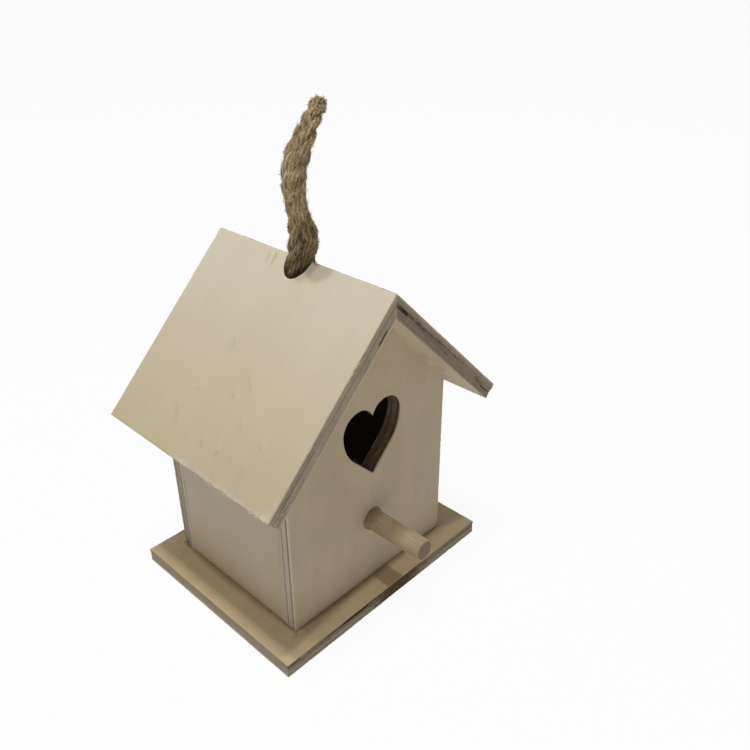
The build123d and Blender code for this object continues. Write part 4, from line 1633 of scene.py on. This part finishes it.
@dataclass
class Hanger:
    """The rope hanger: a doubled jute rope through the ridge, knotted inside.

    The route is in millimetres: along the loop's plane, aside of it and above the ridge.
    """

    diameter: float = 5.5
    length_m: float = 0.154
    turn: float = math.radians(43.7)
    leg: float = 2.8
    knot_top: float = -15.24
    knot_turns: float = 1.5
    knot_height: float = 14.0
    route: tuple[tuple[float, float, float], ...] = (
        (0.0, 1.6, 0.8), (0.0, 0.7, 6.4), (2.0, 0.7, 13.3), (7.3, 3.3, 22.1), (12.1, 2.6, 31.1),
        (13.6, -2.6, 40.1), (8.7, -6.8, 47.9), (0.0, -8.7, 50.6), (-8.6, -7.0, 48.3), (-13.6, -4.1, 40.9),
        (-12.2, -1.2, 31.5), (-7.4, -0.6, 22.4), (-1.9, -1.7, 13.7), (0.0, -4.2, 7.4), (0.0, -2.3, 0.8),
        (0.0, -1.9, -5.5),
    )
    sway_half: float = 9.0
    knot_bulge: float = 2.2
    knot_steps: int = 13
    knot_ends: tuple[tuple[float, float, float], ...] = ((0.4, 1.05, -4.0), (0.9, 1.3, -9.0))

    def __post_init__(self) -> None:
        """Read the ridge and the rope hole's place from the frame."""
        low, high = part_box("left_roof_panel")
        self.ridge = Vector((0, (low.y + high.y) / 2, high.z))
        sway = next(joint for joint in frame["joints"] if joint["name"] == "hanger_sway")
        self.pivot = Vector(sway["pos_m"])

    def placed(self, along: float, aside: float, above: float) -> Vector:
        """A place on the route, in metres in the shared frame."""
        c, s = math.cos(self.turn), math.sin(self.turn)
        return self.ridge + Vector((c * along - s * aside, s * along + c * aside, above)) * MM

    def line(self, name: str, route: Sequence[tuple[float, float, float]]) -> bpy.types.Mesh:
        """The smooth line of a rope through a route's control points, as a mesh of edges."""
        curve = bpy.data.curves.new(name, "CURVE")
        curve.dimensions = "3D"
        curve.resolution_u = 24
        spline = curve.splines.new("NURBS")
        spline.points.add(len(route) - 1)
        for point, place in zip(spline.points, route):
            point.co = (*self.placed(*place), 1.0)
        spline.order_u = 3
        spline.use_endpoint_u = True
        carrier = bpy.data.objects.new(name, curve)
        bpy.context.scene.collection.objects.link(carrier)
        graph = bpy.context.evaluated_depsgraph_get()
        mesh = bpy.data.meshes.new_from_object(carrier.evaluated_get(graph))
        bpy.data.objects.remove(carrier)
        return mesh

    def sizes(self, finish: bpy.types.Material) -> dict:
        """The sizes of the laid rope, for its tree."""
        return {
            "Strands": 3, "Strand radius": 1.5 * MM, "Strand offset": 1.42 * MM, "Lay": 19 * MM, "Yarns": 6.0,
            # The strands take painted shade that fades from 3 mm below the ridge to 20 mm above it, and more
            # painted shade from 32 mm above the ridge to the top of the loop.
            "Yarn depth": 0.2, "Yarn lay": 26 * MM, "Step": 0.45 * MM, "Shade foot": self.ridge.z - 3 * MM,
            "Shade top": self.ridge.z + 20 * MM, "Crown foot": self.ridge.z + 32 * MM,
            "Crown top": self.ridge.z + 50 * MM, "Crown tightness": 0.86, "Finish": finish,
        }

    def build(self, strands: bpy.types.Material, loose: bpy.types.Material, fuzz: bpy.types.NodeTree) -> None:
        """Args:
            strands: The finish of the laid strands.
            loose: The finish of the loose fibres.
            fuzz: The tree that grows loose fibres.
        """
        laid = rope_tree()
        foot_a, foot_b = (0.0, self.leg, self.knot_top), (0.0, -self.leg, self.knot_top)
        line = self.line("hanger_line", (foot_a, *self.route, foot_b))
        path = [tuple(v.co) for v in line.vertices]
        rope = grow("hanger_rope", line, laid, self.sizes(strands))
        hair = {
            "Density": 3.6e6, "Shortest": 1.4 * MM, "Longest": 5.0 * MM, "Thickness": 0.017, "Lift": 0.0,
            "Spread": 0.24, "Seed": 4, "Finish": loose,
        }
        fibres = grow("hanger_fibres", rope.data.copy(), fuzz, hair)
        knots = []
        coarse = self.sizes(strands) | {"Step": 0.7 * MM}
        for number, half in enumerate((1, -1)):
            knot_line = self.line(f"knot_line_{number}", self.knot_route(half))
            knots.append(grow(f"hanger_knot_{number}", knot_line, laid, coarse))
        for piece in (rope, fibres):
            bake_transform(piece)
        for knot in knots:
            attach(knot, Body.STEM.value)
            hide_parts("hanger_knot")
        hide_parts("hanger_loop", "hanger_legs")
        drawn = sum((Vector(a) - Vector(b)).length for a, b in zip(path, path[1:]))
        LOG.info("rope length %.1f mm", drawn / MM)

    def knot_route(self, half: int) -> list[tuple[float, float, float]]:
        """One leg's way through the knot, round the other leg, to its hanging end.

        Args:
            half: 1 for the first leg and -1 for the second, half a turn away.

        Returns:
            The route's control points.
        """
        points = []
        for share in (step / self.knot_steps for step in range(self.knot_steps + 1)):
            angle = math.radians(90) + FULL_TURN * self.knot_turns * share
            reach = self.leg + self.knot_bulge * math.sin(math.pi * share)
            above = self.knot_top - self.knot_height * share
            points.append((half * reach * math.cos(angle), half * reach * math.sin(angle), above))
        last = points[-1]
        for aside, out, drop in self.knot_ends:
            points.append((last[0] * out + half * aside, last[1] * out, last[2] + drop))
        return points


@dataclass(frozen=True)
class Patch:
    """A small patch that splinters grow on: a corner, two sides, the way they lie and the way they face.

    Their number is a mean and their greatest length is in millimetres.
    """

    place: Vector
    wide: Vector
    tall: Vector
    axis: Vector
    out: Vector
    count: int
    longest: float

    def grown(
        self, number: int, seed: int, finish: bpy.types.Material, fuzz: bpy.types.NodeTree
    ) -> bpy.types.Object:
        """Grow the patch's splinters.

        Args:
            number: The patch's number, for its names.
            seed: The seed of their places.
            finish: The material.
            fuzz: The tree that grows loose fibres.

        Returns:
            The splinters, as one piece.
        """
        normal = self.wide.cross(self.tall)
        beside, above = self.place + self.wide, self.place + self.tall
        corners = [self.place, beside, beside + self.tall, above]
        order = (0, 1, 2, 3) if normal.dot(self.out) > 0 else (3, 2, 1, 0)
        ground = mesh_object(f"patch_{number}", np.array(corners), [order])
        store(ground, "rope_axis", np.array([self.axis] * 4))
        store(ground, "rope_out", np.array([self.out] * 4))
        sizes = {
            "Density": self.count / normal.length, "Shortest": 0.3 * self.longest * MM,
            "Longest": self.longest * MM, "Thickness": 0.034, "Lift": 0.2, "Spread": 0.2, "Seed": seed,
            "Finish": finish,
        }
        piece = grow(f"splinters_{number}", ground.data.copy(), fuzz, sizes)
        bpy.data.objects.remove(ground)
        return piece


@dataclass
class Splinters:
    """Loose fibres of torn veneer, along the left roof board's edges and in the heart.

    Sizes are in millimetres.
    """

    seed: int = 61

    def build(self, finish: bpy.types.Material, fuzz: bpy.types.NodeTree) -> None:
        """Grow the fibres on small patches and stand them on the house.

        Args:
            finish: The material.
            fuzz: The tree that grows loose fibres.
        """
        low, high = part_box("left_roof_panel")
        ridge = Vector((0, low.y, high.z))
        down = Vector((-math.cos(PITCH), 0, -math.sin(PITCH)))
        inward = Vector((math.sin(PITCH), 0, -math.cos(PITCH)))
        eave = (high.x - low.x) / math.cos(PITCH) / MM
        tip = ridge + down * (eave - 3.5) * MM + inward * 0.5 * MM
        lip = ridge + down * eave * MM + NORTH * 2 * MM + inward * 0.2 * MM
        chip = ridge + down * 24.5 * MM + inward * 0.1 * MM
        arris = ridge + down * 18 * MM + inward * 0.05 * MM
        sill = Vector((-8.9, -33.3, 66.2)) * MM
        flank, rising, facing = Vector((0.68, 0, -0.73)), Vector((0.45, 0.1, 0.9)), Vector((0.73, 0, 0.68))
        patches = (
            Patch(tip, down * 3.4 * MM, inward * 5.6 * MM, down, SOUTH, 15, 4.6),
            Patch(lip, NORTH * 45 * MM, inward * 0.5 * MM, NORTH, down, 26, 4.0),
            Patch(chip, down * 5 * MM, inward * 0.9 * MM, down, SOUTH, 10, 3.6),
            Patch(arris, down * 60 * MM, inward * 0.35 * MM, down, SOUTH, 60, 1.5),
            Patch(sill, flank * 6 * MM, NORTH * 1.0 * MM, rising, facing, 9, 1.5),
        )
        for number, patch in enumerate(patches):
            stand(patch.grown(number, self.seed + number, finish, fuzz))


@dataclass
class GlueBead:
    """Glue squeezed out between the front gable and the right roof board. Sizes are in millimetres."""

    widest: float = 2.0
    start: float = 0.22
    end: float = 0.985
    stations: int = 90
    swell: tuple[float, float, float] = (0.12, 0.55, 1.0)
    seed: int = 71
    section: tuple[tuple[float, float], ...] = (
        (1.0, -0.12), (1.0, 0.02), (0.46, 0.18), (0.18, 0.46), (0.02, 1.0), (-0.12, 1.0), (-0.12, -0.12),
    )

    LUMPS, GRAINS = Wave(0.16, 5.0, 1.0), Wave(0.05, 1.2)

    def build(self, finish: bpy.types.Material) -> None:
        """Sweep the bead's hollow section along the seam.

        Args:
            finish: The material.
        """
        low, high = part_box("front_panel")
        rng = np.random.default_rng(self.seed)
        c, s = math.cos(PITCH), math.sin(PITCH)
        seam, down, forward = np.array((c, 0, -s)), np.array((-s, 0, -c)), np.array((0, -1, 0))
        apex = np.array((0, low.y, high.z))
        length = high.x / c
        shares = np.linspace(self.start, self.end, self.stations)
        places = shares * length / MM
        ragged = self.LUMPS.along(places, rng) + self.GRAINS.along(places, rng)
        widths = self.widest * MM * np.interp(shares, (self.start, 0.5, 1.0), self.swell) * ragged
        rows = [
            apex + seam * length * share + forward * out * width + down * drop * width
            for share, width in zip(shares, widths)
            for out, drop in self.section
        ]
        around = len(self.section)
        caps = [tuple(range(around))[::-1], tuple(range(len(rows) - around, len(rows)))]
        piece = mesh_object("glue_bead", np.array(rows), lattice(self.stations, around) + caps)
        stand(piece, finish)


@dataclass(frozen=True)
class Lamp:
    """A round soft lamp that faces the house, with its place and width in metres and its power in watts."""

    name: str
    place: tuple[float, float, float]
    width: float
    power: float
    tint: tuple[float, float, float] = (1.0, 0.98, 0.95)

    AIM = Vector((0, 0, 0.06))

    def hang(self) -> None:
        """Add the lamp to the scene."""
        light = bpy.data.lights.new(self.name, "AREA")
        light.shape = "DISK"
        light.size = self.width
        light.energy = self.power
        light.color = self.tint
        made = bpy.data.objects.new(self.name, light)
        made.location = self.place
        made.rotation_euler = (self.AIM - Vector(self.place)).to_track_quat("-Z", "Y").to_euler()
        bpy.context.scene.collection.objects.link(made)


@dataclass
class Studio:
    """The plain pale floor, the soft light and the camera at the photograph's angle."""

    camera_place: tuple[float, float, float] = (-0.1662, -0.1941, 0.2299)
    camera_pitch: float = math.radians(60.04)
    camera_heading: float = math.radians(-46.315)
    camera_roll: float = math.radians(-0.25)
    lens: float = 37.887
    sensor: float = 36.0
    nearest: float = 0.01
    floor_half: float = 4.0
    floor_gap: float = 0.0002
    floor_glow: float = 0.935
    floor_colour: Colour = shade(238, 237, 235)
    floor_rough: float = 0.9
    surround: float = 0.235
    surround_tint: Colour = (0.97, 0.985, 1.0, 1)
    lamps: tuple[Lamp, ...] = (
        Lamp("side", (-0.39, 0.0, 1.30), 0.08, 1.8),
        Lamp("front", (-0.15, -0.165, 1.33), 0.06, 3.2),
        Lamp("rear", (-0.205, 0.05, 1.31), 0.06, 4.2),
        Lamp("fill", (-1.2, 0.1, 0.5), 0.9, 1.0, (0.78, 0.92, 1.0)),
    )

    WHITE = (1, 1, 1, 1)

    def build(self) -> None:
        """Make the stage."""
        self.camera()
        self.floor()
        self.sky()
        for lamp in self.lamps:
            lamp.hang()

    def camera(self) -> None:
        """Stand the camera where the photograph was taken from."""
        made = bpy.data.objects.new("camera", bpy.data.cameras.new("camera"))
        made.data.sensor_width = self.sensor
        made.data.lens = self.lens
        made.data.clip_start = self.nearest
        aimed = Euler((self.camera_pitch, 0, self.camera_heading)).to_matrix()
        turned = aimed @ Matrix.Rotation(self.camera_roll, 3, "Z")
        made.matrix_world = Matrix.Translation(self.camera_place) @ turned.to_4x4()
        bpy.context.scene.collection.objects.link(made)
        bpy.context.scene.camera = made

    def floor(self) -> None:
        """Lay a white floor, which shows white to the camera but for a faint shadow."""
        half, level = self.floor_half, -self.floor_gap
        corners = [(x * half, y * half, level) for x, y in ((-1, -1), (1, -1), (1, 1), (-1, 1))]
        piece = mesh_object("floor", np.array(corners), [(0, 1, 2, 3)])
        material, graph, shader = new_material("floor_white")
        shader.inputs["Base Color"].default_value = self.floor_colour
        shader.inputs["Roughness"].default_value = self.floor_rough
        glow = graph.out("ShaderNodeEmission", {"Color": self.WHITE, "Strength": 1.0})
        seen = graph.times(graph.direct(), self.floor_glow)
        mixed = graph.out("ShaderNodeMixShader", {0: seen, 1: shader.outputs[0], 2: glow})
        graph.tree.links.new(mixed, material.node_tree.nodes["Material Output"].inputs[0])
        piece.data.materials.append(material)

    def sky(self) -> None:
        """Set an even pale surround, which shows white to the camera."""
        world = bpy.data.worlds.new("surround")
        world.use_nodes = True
        graph = Graph(world.node_tree)
        soft = graph.out("ShaderNodeBackground", {"Color": self.surround_tint, "Strength": self.surround})
        white = graph.out("ShaderNodeBackground", {"Color": self.WHITE, "Strength": 1.0})
        mixed = graph.out("ShaderNodeMixShader", {0: graph.direct(), 1: soft, 2: white})
        graph.tree.links.new(mixed, world.node_tree.nodes["World Output"].inputs[0])
        bpy.context.scene.world = world


def dress_brads() -> None:
    """Give the brads under the base plate their wire finish."""
    brads = frame["nodes"]["base_brads"]
    brads.data.materials.clear()
    brads.data.materials.append(WireFinish().material())


def main() -> None:
    """Build the birdhouse and its stage."""
    logging.basicConfig(level=logging.INFO, format="%(name)s %(message)s")
    bpy.context.scene.view_settings.view_transform = "Standard"
    grain, fuzz = WoodGrain(), fibre_tree()
    House().build(grain)
    Perch().build(DowelFinish().material(grain))
    Hanger().build(FibreFinish("jute_strands").strands(), FibreFinish("jute_fibres").fibres(), fuzz)
    torn = FibreFinish("torn_veneer", shade(246, 238, 222), shade(232, 218, 192), shade(206, 188, 158))
    Splinters().build(torn.fibres(), fuzz)
    GlueBead().build(GlueFinish().material())
    dress_brads()
    Studio().build()


if __name__ == "__main__":
    main()
